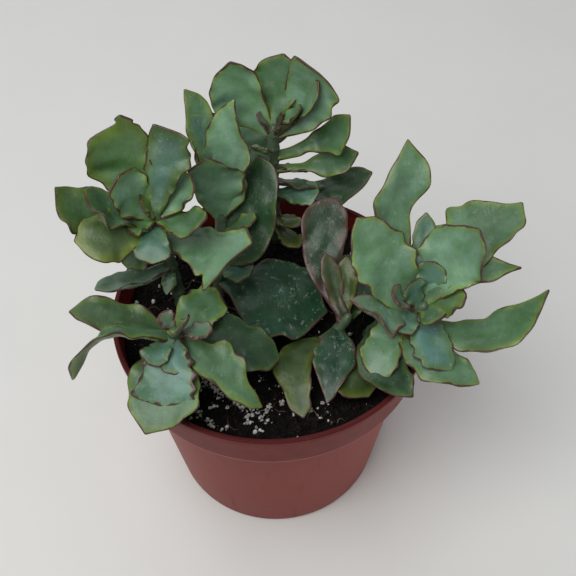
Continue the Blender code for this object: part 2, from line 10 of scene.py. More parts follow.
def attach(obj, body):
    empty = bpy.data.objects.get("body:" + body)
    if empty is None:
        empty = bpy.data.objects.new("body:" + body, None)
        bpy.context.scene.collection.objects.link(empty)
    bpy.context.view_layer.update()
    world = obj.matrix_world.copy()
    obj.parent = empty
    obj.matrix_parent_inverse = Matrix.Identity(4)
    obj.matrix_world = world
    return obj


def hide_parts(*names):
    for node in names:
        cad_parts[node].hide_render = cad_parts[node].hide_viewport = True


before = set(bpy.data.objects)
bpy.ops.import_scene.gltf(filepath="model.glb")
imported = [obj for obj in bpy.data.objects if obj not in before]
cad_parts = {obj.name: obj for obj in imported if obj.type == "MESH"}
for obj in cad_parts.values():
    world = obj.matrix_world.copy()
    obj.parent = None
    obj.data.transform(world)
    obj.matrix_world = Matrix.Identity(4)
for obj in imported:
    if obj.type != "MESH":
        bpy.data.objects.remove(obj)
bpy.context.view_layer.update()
scene = bpy.context.scene
mm = 0.001


class Socket:
    # a node's output, so that sums and products of values add Math nodes
    def __init__(self, maker, output):
        self.maker, self.output = maker, output

    def math(self, operation, *values):
        return self.maker.node("ShaderNodeMath", {"operation": operation}, dict(enumerate(values)))

    def __add__(self, other):
        return self.math("ADD", self, other)

    def __sub__(self, other):
        return self.math("SUBTRACT", self, other)

    def __rsub__(self, other):
        return self.math("SUBTRACT", other, self)

    def __mul__(self, other):
        return self.math("MULTIPLY", self, other)

    def __truediv__(self, other):
        return self.math("DIVIDE", self, other)

    def __pow__(self, other):
        return self.math("POWER", self, other)

    __radd__ = __add__
    __rmul__ = __mul__

    def rise(self, low, high):
        # 0 below low, 1 above high and smooth between, or the other way round when low is the larger
        ends = {0: self, 1: low, 2: high}
        return self.maker.node("ShaderNodeMapRange", {"interpolation_type": "SMOOTHSTEP"}, ends)


class Maker:
    # adds nodes to one tree
    def __init__(self, tree):
        self.tree = tree

    def node(self, kind, settings={}, sockets={}, output=0):
        made = self.tree.nodes.new(kind)
        for name, value in settings.items():
            setattr(made, name, value)
        for name, value in sockets.items():
            self.feed(made.inputs[name], value)
        return Socket(self, made.outputs[output])

    def feed(self, target, value):
        if isinstance(value, Socket):
            self.tree.links.new(value.output, target)
        elif isinstance(value, tuple) and len(target.default_value) == 4:
            target.default_value = (*value, 1)
        else:
            target.default_value = value


class ShaderMaker(Maker):
    def place(self):
        return self.node("ShaderNodeTexCoord", output="Object")

    def noise(self, size, detail=2.0, stretch=(1, 1, 1)):
        # grey cloud whose lumps are about size millimetres across
        place = self.node("ShaderNodeVectorMath", {"operation": "MULTIPLY"}, {0: self.place(), 1: stretch})
        cloud = {"Vector": place, "Scale": 1 / (size * mm), "Detail": detail}
        return self.node("ShaderNodeTexNoise", {}, cloud)

    def spots(self, spacing, radius):
        # round spots, a radius in millimetres, about one in each cell of the spacing
        cells = {"Vector": self.place(), "Scale": 1 / (spacing * mm)}
        far = self.node("ShaderNodeTexVoronoi", {}, cells, "Distance")
        return far.rise(1.3 * radius / spacing, 0.7 * radius / spacing)

    def mix(self, factor, first, second, blend="MIX"):
        settings = {"data_type": "RGBA", "blend_type": blend}
        return self.node("ShaderNodeMix", settings, {0: factor, 6: first, 7: second}, 2)

    def shade(self, colour, value):
        # the colour made lighter or darker
        return self.node("ShaderNodeHueSaturation", {}, {"Color": colour, "Value": value})

    def number(self, name):
        return self.node("ShaderNodeAttribute", {"attribute_name": name}, output="Fac")

    def colour(self, name):
        return self.node("ShaderNodeAttribute", {"attribute_name": name}, output="Color")


def newMaterial(name, draw, **constants):
    # draw gives the colour, the roughness and the height of the relief in millimetres
    made = bpy.data.materials.new(name)
    made.use_nodes = True
    shader = made.node_tree.nodes["Principled BSDF"]
    maker = ShaderMaker(made.node_tree)
    colour, roughness, relief = draw(maker)
    maker.feed(shader.inputs["Base Color"], colour)
    maker.feed(shader.inputs["Roughness"], roughness)
    bump = maker.node("ShaderNodeBump", {}, {"Strength": 1.0, "Distance": mm, "Height": relief})
    maker.feed(shader.inputs["Normal"], bump)
    for socket, value in constants.items():
        shader.inputs[socket.replace("_", " ")].default_value = value
    return made


def newPiece(name, points, faces, material):
    # points are in millimetres
    mesh = bpy.data.meshes.new(name)
    mesh.from_pydata((np.asarray(points, float) * mm).tolist(), [], faces)
    mesh.materials.append(material)
    mesh.shade_smooth()
    piece = bpy.data.objects.new(name, mesh)
    scene.collection.objects.link(piece)
    return piece


def addValues(piece, name, values):
    # a number or a colour for each point of the piece
    values = np.asarray(values, np.float32)
    kind, field = ("FLOAT", "value") if values.ndim == 1 else ("FLOAT_COLOR", "color")
    if values.ndim == 2:
        values = np.concatenate([values, np.ones((len(values), 1), np.float32)], axis=1)
    piece.data.attributes.new(name, kind, "POINT").data.foreach_set(field, values.ravel())


def baked(piece):
    # the piece's evaluated mesh in place of its modifiers
    mesh = bpy.data.meshes.new_from_object(piece.evaluated_get(bpy.context.evaluated_depsgraph_get()))
    piece.modifiers.clear()
    piece.data = mesh
    mesh.name = piece.name
    return piece


def dress(piece, slot, *nodes):
    # the finished piece stands for these nodes of the frame
    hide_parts(*nodes)
    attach(piece, "root")
    triangles = sum(len(face.vertices) - 2 for face in piece.data.polygons)
    print(piece.name, "has", triangles, "triangles")


# the pot

pot = {
    "rim radius": 60.0,
    "height": 93.0,
    "lip width": 1.9,
    "lip height": 2.6,
    "lip round": 0.6,
    "collar height": 17.2,
    "collar radii": (59.2, 57.7),
    "body radii": (53.5, 43.7),
    "base round": 2.5,
    "wall": 1.3,
    "floor": 2.0,
    "floor middle": 20.0,
    "arc margin": 0.15,
    "drain holes": 8,
    "drain radius": 3.6,
    "drain ring radius": 34.0,
    "sides": 192,
    "colour": (0.256, 0.062, 0.052),
    "lip colour": (0.060, 0.009, 0.010),
    "inner colour": (0.19, 0.024, 0.020),
    "collar shade colour": (0.086, 0.018, 0.019),
    "foot highlight colour": (0.40, 0.26, 0.24),
    "dust colour": (0.30, 0.24, 0.20),
}


def roundCorner(before, corner, after, radius, steps=4):
    # points of a small arc in place of a profile's corner
    before, corner, after = (np.array(point, float) for point in (before, corner, after))
    start = corner + (before - corner) / np.linalg.norm(before - corner) * radius
    end = corner + (after - corner) / np.linalg.norm(after - corner) * radius
    shares = np.linspace(0, 1, steps + 1)[:, None]
    curve = (1 - shares) ** 2 * start + 2 * shares * (1 - shares) * corner + shares**2 * end
    return [tuple(point) for point in curve]


def potProfile():
    # (radius, height) round the wall's section, from the underside's middle to the floor's
    height, wall, lip = pot["height"], pot["wall"], pot["lip round"]
    foot = height - pot["collar height"]
    lipFoot = height - pot["lip height"]
    top, low = pot["collar radii"]
    bodyTop, base = pot["body radii"]
    rim, inner = pot["rim radius"], pot["rim radius"] - pot["lip width"]
    corners = [
        ((base, 0), pot["base round"]), ((bodyTop, foot), 0.5), ((low, foot), 0.4), ((top, lipFoot), 0.25),
        ((rim, lipFoot), 0.3), ((rim, height), lip), ((inner, height), lip), ((inner, lipFoot), 0.4),
        ((top - wall, lipFoot - 0.4), 0.2), ((low - wall, foot + wall), 0.4),
        ((bodyTop - wall, foot + wall - 0.4), 0.3), ((base - wall, pot["floor"]), 1.4),
    ]
    middle, margin = pot["floor middle"], pot["arc margin"]
    places = [(middle, 0)] + [corner for corner, _ in corners] + [(middle, pot["floor"])]
    profile = [(0, 0), (middle, 0)]
    for i, (corner, radius) in enumerate(corners):
        arc = roundCorner(places[i], corner, places[i + 2], radius)
        # a point close before and after each arc keeps the shading of the walls even
        before, after = np.subtract(arc[0], profile[-1]), np.subtract(places[i + 2], arc[-1])
        for way, point in ((-before, arc[0]), (after, arc[-1])):
            length = np.linalg.norm(way)
            near = tuple(np.add(point, way / length * margin))
            if length > 10 * margin:
                arc = [near, *arc] if point is arc[0] else [*arc, near]
        profile += arc
    return profile + [(middle, pot["floor"]), (0, pot["floor"])]


def drainCutter(number):
    turn = 2 * math.pi * number / pot["drain holes"]
    shape = bmesh.new()
    radius, depth = pot["drain radius"] * mm, 4 * pot["floor"] * mm
    bmesh.ops.create_cone(shape, cap_ends=True, segments=32, radius1=radius, radius2=radius, depth=depth)
    ring = pot["drain ring radius"] * mm
    bmesh.ops.translate(shape, verts=shape.verts, vec=(ring * math.cos(turn), ring * math.sin(turn), 0))
    mesh = bpy.data.meshes.new("drainCutter")
    shape.to_mesh(mesh)
    shape.free()
    return bpy.data.objects.new("drainCutter", mesh)


def potFinish(maker):
    # satin moulded plastic with a darker lip and inside, painted shade on the collar, painted light towards
    # the sides and along the collar's foot, a little dust and fine scuffs
    place = maker.node("ShaderNodeSeparateXYZ", {}, {0: maker.place()}, "Z")
    inside, lip = maker.number("inside"), maker.number("lip")
    cloud, grain = maker.noise(26, 3), maker.noise(0.9, 3)
    scuff = maker.noise(5, 4, stretch=(1, 1, 0.12)).rise(0.56, 0.75)
    # painted light: paler towards the sides, most of all on the right, standing in for light reflected onto
    # them; paler towards the sides, most on the right, to match the photo, which may show light and not
    # fading
    across = maker.node("ShaderNodeSeparateXYZ", {}, {0: maker.place()}, "X") / (50 * mm)
    colour = maker.shade(pot["colour"], 0.82 + 0.20 * cloud + 0.28 * across + 0.48 * (across * across))
    colour = maker.mix(lip * 0.9, colour, pot["lip colour"])
    colour = maker.mix(inside, colour, pot["inner colour"])
    # painted shade: the collar is darker than the body, in patches; painted highlight: a pale line along its
    # foot
    foot = (pot["height"] - pot["collar height"]) * mm
    footHighlight = place.rise(foot - 0.3 * mm, foot) * place.rise(foot + 0.9 * mm, foot + 0.5 * mm) * (1 - inside)
    collar = place.rise(foot + 0.5 * mm, foot + 1.2 * mm) * (1 - inside) * (1 - lip)
    collar = collar * (0.22 + 0.55 * maker.noise(9, 3, stretch=(1, 1, 2.0)))
    colour = maker.mix(collar, colour, pot["collar shade colour"])
    colour = maker.mix(footHighlight * (0.15 + 0.6 * maker.noise(6, 3)), colour, pot["foot highlight colour"])
    dust = maker.noise(1.6, 4).rise(0.55, 0.8) * (place.rise(0.03, 0.0) * 0.3 + 0.05) * (1 - inside)
    colour = maker.mix(dust, colour, pot["dust colour"])
    roughness = 0.36 + 0.12 * cloud + 0.12 * scuff + 0.2 * dust
    return colour, roughness, 0.02 * grain + 0.012 * scuff + 0.08 * maker.noise(9, 1)


def buildPot():
    profile = potProfile()
    shape = bmesh.new()
    line = [shape.verts.new((radius * mm, 0, height * mm)) for radius, height in profile]
    edges = [shape.edges.new(pair) for pair in zip(line, line[1:])]
    whole = {"axis": (0, 0, 1), "cent": (0, 0, 0), "angle": 2 * math.pi, "steps": pot["sides"]}
    bmesh.ops.spin(shape, geom=line + edges, use_merge=True, **whole)
    bmesh.ops.remove_doubles(shape, verts=shape.verts, dist=0.001 * mm)
    bmesh.ops.recalc_face_normals(shape, faces=shape.faces)
    mesh = bpy.data.meshes.new("potShell")
    shape.to_mesh(mesh)
    shape.free()
    piece = bpy.data.objects.new("potShell", mesh)
    scene.collection.objects.link(piece)
    group = bpy.data.collections.new("drainCutters")
    scene.collection.children.link(group)
    cutters = [drainCutter(number) for number in range(pot["drain holes"])]
    for cutter in cutters:
        group.objects.link(cutter)
    cut = piece.modifiers.new("drain", "BOOLEAN")
    cut.operation, cut.operand_type, cut.collection, cut.solver = "DIFFERENCE", "COLLECTION", group, "EXACT"
    baked(piece)
    for cutter in cutters:
        bpy.data.objects.remove(cutter)
    bpy.data.collections.remove(group)
    mesh = piece.data
    mesh.shade_smooth()
    mesh.set_sharp_from_angle(angle=math.radians(50))
    mesh.materials.append(newMaterial("terracottaPlastic", potFinish, Specular_IOR_Level=0.06))
    points = np.array([v.co for v in mesh.vertices]) / mm
    radius, height = np.hypot(points[:, 0], points[:, 1]), points[:, 2]
    # which points lie inside the pot, and which on top of its lip
    innerRadius = pot["rim radius"] - pot["lip width"] + 0.05
    foot = pot["height"] - pot["collar height"]
    outerRadii = [*pot["body radii"][::-1], *pot["collar radii"][::-1]]
    outer = np.interp(height, [0, foot, foot + 0.01, pot["height"]], outerRadii)
    inside = (height > 1.0) & (radius < outer - 0.55)
    lip = (radius > innerRadius - 0.1) & (height > pot["height"] - 0.7)
    addValues(piece, "inside", inside & ~lip)
    addValues(piece, "lip", lip)
    dress(piece, "terracotta_plastic", "pot")


buildPot()


# the soil, its crumbs, perlite and root fibres

soil = {
    "height": 83.5,
    "radius": 56.6,
    "side": ((55.9, 77.5), (51.6, 76.0), (42.0, 3.0)),  # (radius, height) from top to bottom
    "bump": 1.5,
    "hills": ((0.55, 26), (0.3, 8), (0.22, 2.6)),  # (share of the bump, size across)
    "rings": 90,
    "spokes": 240,
    "seed": 11,
    "dark colour": (0.003, 0.0024, 0.002),
    "light colour": (0.010, 0.007, 0.005),
}
crumbs = {
    "Density": 8.6e5,
    "Smallest": 0.35 * mm,
    "Largest": 1.9 * mm,
    "Rarity": 2.6,
    "Lumps": 0.5,
    "Seed": 3,
}
perlite = {
    "Density": 6.5e5,
    "Smallest": 0.25 * mm,
    "Largest": 1.7 * mm,
    "Rarity": 3.4,
    "Lumps": 0.5,
    "Seed": 8,
}
drifts = {"middle": (-20.0, -33.0), "reach": (20.0, 13.0), "extra": 6.0, "sizes": (14, 6), "seed": 21}
fibres = {"count": 60, "length": (4.0, 14.0), "radius": 0.14, "bend": 1.0, "seed": 5}


def waves(points, size, seed, count=12):
    # a smooth random field, mostly between -1 and 1, whose hills are about size across
    draw = np.random.default_rng(seed)
    turns = draw.normal(size=(count, points.shape[1]))
    turns *= draw.uniform(0.6, 1.4, (count, 1)) / np.linalg.norm(turns, axis=1, keepdims=True)
    turns *= 2 * math.pi / size
    phases = draw.uniform(0, 2 * math.pi, count)
    return np.sin(points @ turns.T + phases).sum(-1) / math.sqrt(count)


def soilTop(x, y):
    flat = np.stack([np.ravel(x), np.ravel(y)], axis=1)
    relief = sum(share * waves(flat, size, soil["seed"] + i) for i, (share, size) in enumerate(soil["hills"]))
    return soil["height"] + soil["bump"] * relief.reshape(np.shape(x))


def soilFinish(maker):
    lumps, grain = maker.noise(2.5, 5), maker.noise(0.5, 4)
    colour = maker.mix(maker.noise(1.2, 4).rise(0.45, 0.8), soil["dark colour"], soil["light colour"])
    return colour, 0.9 - 0.25 * maker.noise(7, 2).rise(0.5, 0.7), 0.9 * lumps + 0.35 * grain


def crumbFinish(maker):
    colour = maker.mix(maker.noise(2.2, 3).rise(0.35, 0.8), (0.0025, 0.002, 0.0015), (0.016, 0.011, 0.008))
    return colour, 0.75 + 0.2 * maker.noise(1.5), 0.25 * maker.noise(0.3, 3)


def perliteFinish(maker):
    stain = maker.noise(1.1, 3).rise(0.42, 0.72)
    colour = maker.mix(stain, (0.66, 0.65, 0.62), (0.20, 0.17, 0.14))
    return colour, 0.8 + 0.15 * stain, 0.2 * maker.noise(0.25, 3)


def fibreFinish(maker):
    colour = maker.mix(maker.noise(3, 2), (0.05, 0.028, 0.016), (0.19, 0.13, 0.085))
    return colour, 0.7 + 0.2 * maker.noise(1), 0.05 * maker.noise(0.3)


def grainTree(name, rings):
    # scatters lumpy grains over a surface where its number "bare" is high
    tree = bpy.data.node_groups.new(name, "GeometryNodeTree")
    tree.interface.new_socket("Geometry", in_out="INPUT", socket_type="NodeSocketGeometry")
    for number in ("Density", "Smallest", "Largest", "Rarity", "Lumps"):
        tree.interface.new_socket(number, in_out="INPUT", socket_type="NodeSocketFloat")
    tree.interface.new_socket("Seed", in_out="INPUT", socket_type="NodeSocketInt")
    tree.interface.new_socket("Finish", in_out="INPUT", socket_type="NodeSocketMaterial")
    tree.interface.new_socket("Geometry", in_out="OUTPUT", socket_type="NodeSocketGeometry")
    maker = Maker(tree)
    group = tree.nodes.new("NodeGroupInput")
    given = {socket.name: Socket(maker, socket) for socket in group.outputs if socket.name}
    bare = maker.node("GeometryNodeInputNamedAttribute", {"data_type": "FLOAT"}, {"Name": "bare"})
    ground = {"Mesh": given["Geometry"], "Density": given["Density"] * bare, "Seed": given["Seed"]}
    points = maker.node("GeometryNodeDistributePointsOnFaces", {}, ground)
    ends = {2: 0.0, 3: 1.0, 8: given["Seed"]}
    draw = maker.node("FunctionNodeRandomValue", {"data_type": "FLOAT"}, ends, 1)
    size = given["Smallest"] + (given["Largest"] - given["Smallest"]) * draw ** given["Rarity"]
    box = {0: (0.65, 0.65, 0.5), 1: (1.25, 1.25, 1.0), 8: given["Seed"] + 1}
    shape = maker.node("FunctionNodeRandomValue", {"data_type": "FLOAT_VECTOR"}, box)
    scale = maker.node("ShaderNodeVectorMath", {"operation": "SCALE"}, {0: shape, "Scale": size})
    spin = {0: (0.0, 0.0, 0.0), 1: (6.3, 6.3, 6.3), 8: given["Seed"] + 2}
    turn = maker.node("FunctionNodeRandomValue", {"data_type": "FLOAT_VECTOR"}, spin)
    ball = maker.node("GeometryNodeMeshIcoSphere", {}, {"Radius": 0.62, "Subdivisions": rings})
    grains = {"Points": points, "Instance": ball, "Rotation": turn, "Scale": scale}
    grains = maker.node("GeometryNodeInstanceOnPoints", {}, grains)
    grains = maker.node("GeometryNodeRealizeInstances", {}, {0: grains})
    cloud = maker.node("ShaderNodeTexNoise", {}, {"Scale": 0.9 / mm, "Detail": 2.0}, 1)
    push = maker.node("ShaderNodeVectorMath", {"operation": "SUBTRACT"}, {0: cloud, 1: (0.5, 0.5, 0.5)})
    push = {0: push, "Scale": given["Lumps"] * 2 * mm}
    push = maker.node("ShaderNodeVectorMath", {"operation": "SCALE"}, push)
    grains = maker.node("GeometryNodeSetPosition", {}, {"Geometry": grains, "Offset": push})
    grains = maker.node("GeometryNodeSetMaterial", {}, {"Geometry": grains, "Material": given["Finish"]})
    result = tree.nodes.new("NodeGroupOutput")
    tree.links.new(grains.output, result.inputs[0])
    return tree


def grow(name, ground, tree, finish, values):
    # a piece of its own from a node tree that grows on the ground
    piece = bpy.data.objects.new(name, ground.data.copy())
    scene.collection.objects.link(piece)
    modifier = piece.modifiers.new(name, "NODES")
    modifier.node_group = tree
    for item in tree.interface.items_tree:
        if item.in_out == "INPUT" and item.name in values:
            modifier[item.identifier] = values[item.name]
        if item.name == "Finish":
            modifier[item.identifier] = finish
    return baked(piece)


def buildSoil():
    ring = np.linspace(0, 1, soil["rings"] + 1)[1:] * soil["radius"]
    turn = np.linspace(0, 2 * math.pi, soil["spokes"], endpoint=False)
    x, y = ring[:, None] * np.cos(turn), ring[:, None] * np.sin(turn)
    points = [(0, 0, float(soilTop(0.0, 0.0)))] + np.stack([x, y, soilTop(x, y)], -1).reshape(-1, 3).tolist()
    for radius, height in soil["side"]:
        points += [(radius * c, radius * s, height) for c, s in zip(np.cos(turn), np.sin(turn))]
    spokes = soil["spokes"]
    faces = [(0, 1 + k, 1 + (k + 1) % spokes) for k in range(spokes)]
    for low in range(1, len(points) - spokes, spokes):
        for k in range(spokes):
            a, b = low + k, low + (k + 1) % spokes
            faces.append((a, a + spokes, b + spokes, b))
    faces.append(tuple(range(len(points) - spokes, len(points)))[::-1])
    finish = newMaterial("pottingSoilMix", soilFinish, Specular_IOR_Level=0.15)
    piece = newPiece("pottingSoil", points, faces, finish)
    place = np.array(points)
    top = (place[:, 2] > soil["height"] - 5) & (np.hypot(place[:, 0], place[:, 1]) < soil["radius"] - 0.8)
    addValues(piece, "bare", top * 1.0)
    dress(piece, "potting_soil", "soil")
    return piece, place, top


def rootFibres(finish):
    # short bent threads that lie on the soil
    draw = np.random.default_rng(fibres["seed"])
    points, faces, steps, sides = [], [], 9, 5
    for _ in range(fibres["count"]):
        angle, far = draw.uniform(0, 2 * math.pi), 54 * math.sqrt(draw.uniform(0.02, 1))
        heading, length = draw.uniform(0, 2 * math.pi), draw.uniform(*fibres["length"])
        turn = heading + fibres["bend"] * draw.normal() * np.linspace(-1, 1, steps)
        turn += 0.4 * draw.normal(size=steps).cumsum()
        step = np.stack([np.cos(turn), np.sin(turn)], 1) * length / steps
        path = np.array([far * math.cos(angle), far * math.sin(angle)]) + step.cumsum(0)
        path *= np.minimum(1, 56 / np.maximum(np.linalg.norm(path, axis=1, keepdims=True), 1e-6))
        rise = 0.5 + draw.uniform(0, 2.2) * np.sin(np.linspace(0, math.pi, steps)) ** 2
        path = np.column_stack([path, soilTop(path[:, 0], path[:, 1]) + rise])
        radius = fibres["radius"] * draw.uniform(0.6, 1.5) * np.linspace(1.2, 0.4, steps)
        tube, sheet = tubeMesh(path, radius, sides)
        faces += [tuple(i + len(points) for i in face) for face in sheet]
        points += tube.tolist()
    return newPiece("rootFibres", points, faces, finish)


def tubeMesh(path, radius, sides):
    # a tube along a path, its rings square to the path and its ends closed
    along = np.gradient(path, axis=0)
    along /= np.linalg.norm(along, axis=1, keepdims=True)
    side = np.cross(along, (0.31, 0.23, 0.92))
    side /= np.linalg.norm(side, axis=1, keepdims=True)
    up = np.cross(side, along)
    turn = np.linspace(0, 2 * math.pi, sides, endpoint=False)
    ring = np.cos(turn)[:, None] * side[:, None] - np.sin(turn)[:, None] * up[:, None]
    points = (path[:, None] + np.reshape(radius, (-1, 1, 1)) * ring).reshape(-1, 3)
    faces = [tuple(range(sides))[::-1], tuple(range(len(points) - sides, len(points)))]
    for low in range(0, len(points) - sides, sides):
        for k in range(sides):
            a, b = low + k, low + (k + 1) % sides
            faces.append((a, b, b + sides, a + sides))
    return points, faces


def buildGrains(ground, place, top):
    finish = newMaterial("soilCrumb", crumbFinish, Specular_IOR_Level=0.2)
    piece = grow("soilCrumbs", ground, grainTree("scatterCrumbs", 1), finish, crumbs)
    dress(piece, "potting_soil")
    # perlite lies in drifts, most of it towards the front
    flat, (broad, fine) = place[:, :2], drifts["sizes"]
    drift = waves(flat, broad, drifts["seed"]) * 0.4 + waves(flat, fine, drifts["seed"] + 1) * 0.5
    heap = np.exp(-(((flat - drifts["middle"]) / drifts["reach"]) ** 2).sum(1))
    share = np.clip(drift + 0.3, 0, 1.4) ** 2 * (0.25 + drifts["extra"] * heap)
    ground.data.attributes["bare"].data.foreach_set("value", (top * share).astype(np.float32))
    finish = newMaterial("perliteGrain", perliteFinish)
    piece = grow("perliteGrains", ground, grainTree("scatterPerlite", 2), finish, perlite)
    dress(piece, "potting_soil")
    dress(rootFibres(newMaterial("rootFibre", fibreFinish)), "potting_soil")


buildGrains(*buildSoil())


# the leafy stems: lengths in millimetres, widths, curls and thicknesses given at shares of a leaf's length

leafRows = 46
leafColumns = 25
rowCrowding = 1.5
curlSteps = 24
sideAt = (0.2, 0.4, 0.6, 0.8, 0.93)
thicknessAt = (0, 0.25, 0.6, 1)
middleThickness = (3.2, 2.4, 2.0, 1.0)
marginThickness = (2.4, 1.0, 0.8, 0.7)
rootHalf = 2.2
pointHalf = 0.35
pointRound = 1.05
waveHeight = 1.9
wavesAlong = 2.2
crinkle = {"height": 1.0, "along": 5.3, "lumps": 0.28, "lump size": 8.0, "ragged": 0.07}
blade = {
    "rim round": 0.9,
    "rim shares": (0.03, 0.4),
    "tip round": 0.02,
    "groove depth": 0.35,
    "groove width": 1.1,
}
bareStem = {"step": 0.6, "sides": 20, "ring spacing": 6.5, "swelling": 0.13, "above": 1.5, "top round": 2.5}
noMargin = 9.0  # a distance past which no margin shows

Stem = namedtuple("Stem", "radius path leaves")
# height is where a leaf leaves its stem, and tip where it ends. left and right are half widths at sideAt,
# and the curls, roll and twist are in degrees. bow and sweep bend it up and sideways by a share of its
# length, late moves that bend towards the tip, and a nick has a side, a place, a depth and a width
Leaf = namedtuple(
    "Leaf", "look height tip left right leftCurl rightCurl roll bow sweep twist late nicks",
    defaults=(0, 0.0, 0.0, 0, 1, ()),
)

# the middle's and the edge's colour, how far in the edge's reaches, the margin's width and pinkness,
# and how chalky the leaf is
Look = namedtuple("Look", "middle edge spread margin pink chalk")
looks = {
    "green": Look((0.080, 0.170, 0.080), (0.135, 0.215, 0.038), 3.0, 0.45, 0.15, 0.6),
    "bright": Look((0.066, 0.148, 0.046), (0.115, 0.185, 0.020), 6, 0.50, 0.20, 0.4),
    # deep: the bright look darkened, as painted shade
    "deep": Look((0.040, 0.088, 0.030), (0.085, 0.140, 0.022), 4, 0.50, 0.20, 0.5),
    "mixed": Look((0.080, 0.165, 0.125), (0.078, 0.140, 0.025), 6, 0.45, 0.15, 0.7),
    "pale": Look((0.118, 0.232, 0.126), (0.160, 0.250, 0.060), 2.5, 0.50, 0.25, 0.7),
    "light": Look((0.150, 0.285, 0.165), (0.180, 0.280, 0.075), 2.5, 0.50, 0.25, 0.8),
    "teal": Look((0.078, 0.172, 0.118), (0.105, 0.195, 0.070), 2.5, 0.42, 0.15, 0.7),
    "frosted": Look((0.100, 0.220, 0.165), (0.120, 0.215, 0.085), 4, 0.50, 0.25, 1.1),
    "hood": Look((0.092, 0.200, 0.145), (0.120, 0.215, 0.085), 3, 1.30, 0.20, 0.9),
    # dark and speckled: partly the leaves' own dark colour and partly painted shade
    "dark": Look((0.022, 0.060, 0.023), (0.050, 0.105, 0.024), 3, 0.50, 0.20, 0.6),
    "speckled": Look((0.010, 0.048, 0.020), (0.026, 0.075, 0.024), 3, 0.50, 0.30, 1.1),
    "purple": Look((0.016, 0.044, 0.018), (0.070, 0.045, 0.028), 4, 0.60, 0.45, 0.8),
    "pink": Look((0.100, 0.190, 0.115), (0.140, 0.145, 0.085), 2.5, 0.80, 0.60, 0.6),
    "brownish": Look((0.044, 0.070, 0.028), (0.100, 0.100, 0.040), 3, 0.60, 0.50, 0.6),
    # olive: partly the leaves' own colour and partly painted shade
    "olive": Look((0.034, 0.066, 0.010), (0.095, 0.130, 0.016), 4, 0.45, 0.30, 0.3),
    "strip": Look((0.060, 0.110, 0.058), (0.150, 0.250, 0.165), 7, 0.40, 0.20, 0.6),
    "under": Look((0.060, 0.108, 0.026), (0.170, 0.225, 0.036), 5, 0.50, 0.20, 0.3),
    "stem": Look((0.062, 0.100, 0.050), (0.062, 0.100, 0.050), 4, 0.0, 0.0, 0.6),
}
maroon = (0.045, 0.012, 0.014)
rosy = (0.200, 0.095, 0.095)
chalkWhite = (0.36, 0.44, 0.39)


def oval(half):
    # half widths of the usual leaf, widest past its middle
    return tuple(half * share for share in (0.52, 0.82, 1.0, 0.86, 0.5))


def blunt(half):
    # half widths of a leaf that stays wide until near its point
    return tuple(half * share for share in (0.45, 0.72, 0.92, 1.0, 0.72))


def lance(half):
    # half widths of a leaf that narrows early to a long point
    return tuple(half * share for share in (0.75, 1.0, 0.92, 0.6, 0.3))


def cup(angle):
    # curls of a margin that turns up most at its middle
    return tuple(angle * share for share in (0.5, 0.9, 1.0, 0.8, 0.4))


def backStem():
    # the tall stem at the back: bare, with a cupped whorl on top and tiers of leaves to the right
    return Stem(2.4, ((3, 40, 73), (1, 44, 112), (2, 45, 141)), (
        Leaf("light", 137, (-13, 50, 166), (9, 15, 16, 13, 7), (2, 3.5, 5, 5, 3), (10, 25, 5, 30, 10),
            cup(20), roll=80, bow=-0.08),
        Leaf("green", 139, (6, 56, 165), (3, 7, 10, 9.5, 5), (3, 6.5, 9, 8, 4), (10, 35, 10, 40, 10),
            (10, 30, 0, 30, 10), bow=-0.05),
        Leaf("light", 136, (10, 50, 168), (2, 2, 1.5, 1.5, 1.5), (12, 17, 19, 18, 11), cup(70),
            (15, 35, 15, 40, 25), roll=-35, bow=-0.1),
        Leaf("pale", 138, (18, 45, 161), blunt(5), blunt(6), cup(80), cup(50), roll=-20, bow=-0.1),
        Leaf("pale", 138, (12, 43, 151), blunt(4), blunt(4), cup(40), cup(50)),
        Leaf("dark", 138, (5, 45, 146), blunt(5.5), blunt(5.5), cup(70), cup(70)),
        Leaf("pink", 137, (-4, 45, 147), blunt(3), blunt(3), cup(50), cup(40)),
        Leaf("pale", 129, (-7, 42, 134), oval(4), oval(4), cup(30), cup(20), roll=-30),
        Leaf("green", 127, (30, 46, 145), (1.5, 2, 3.5, 4, 2), (3, 4.5, 9, 10, 5), (10, 30, 50, 20, 0),
            (0, 10, 40, 30, 10), roll=-35, bow=-0.18),
        Leaf("green", 121, (34, 45, 128), (1.5, 2, 5.5, 6.5, 2.5), (2, 3, 6.5, 6.5, 4), (10, 10, 30, 50, 20),
            (10, 30, 10, 0, 20), roll=-20, bow=-0.08),
        Leaf("dark", 115, (21, 41, 114), oval(4.5), oval(4.5), cup(10), cup(20), roll=20),
        Leaf("teal", 109, (19, 37, 115), blunt(5), blunt(6), cup(10), cup(0), roll=-20),
        Leaf("dark", 107, (40, 46, 117), (3, 5, 6.5, 7, 4), (3, 5, 7.5, 8, 4), (10, 40, 20, 40, 10),
            (0, 30, 5, 30, 10), roll=-10, bow=-0.12),
        Leaf("dark", 122, (16, 46, 119), oval(2.5), oval(2.5), cup(20), cup(20)),
        Leaf("green", 134, (14, 66, 146), oval(9), oval(9), cup(20), cup(40)),
        Leaf("green", 116, (-12, 66, 126), oval(9), oval(8), cup(30), cup(20)),
        Leaf("olive", 97, (11, 29, 105), oval(4.5), oval(4.5), cup(20), cup(20)),
        Leaf("olive", 92, (11, 24, 98), oval(4.5), oval(4.5), cup(20), cup(20)),
    ))


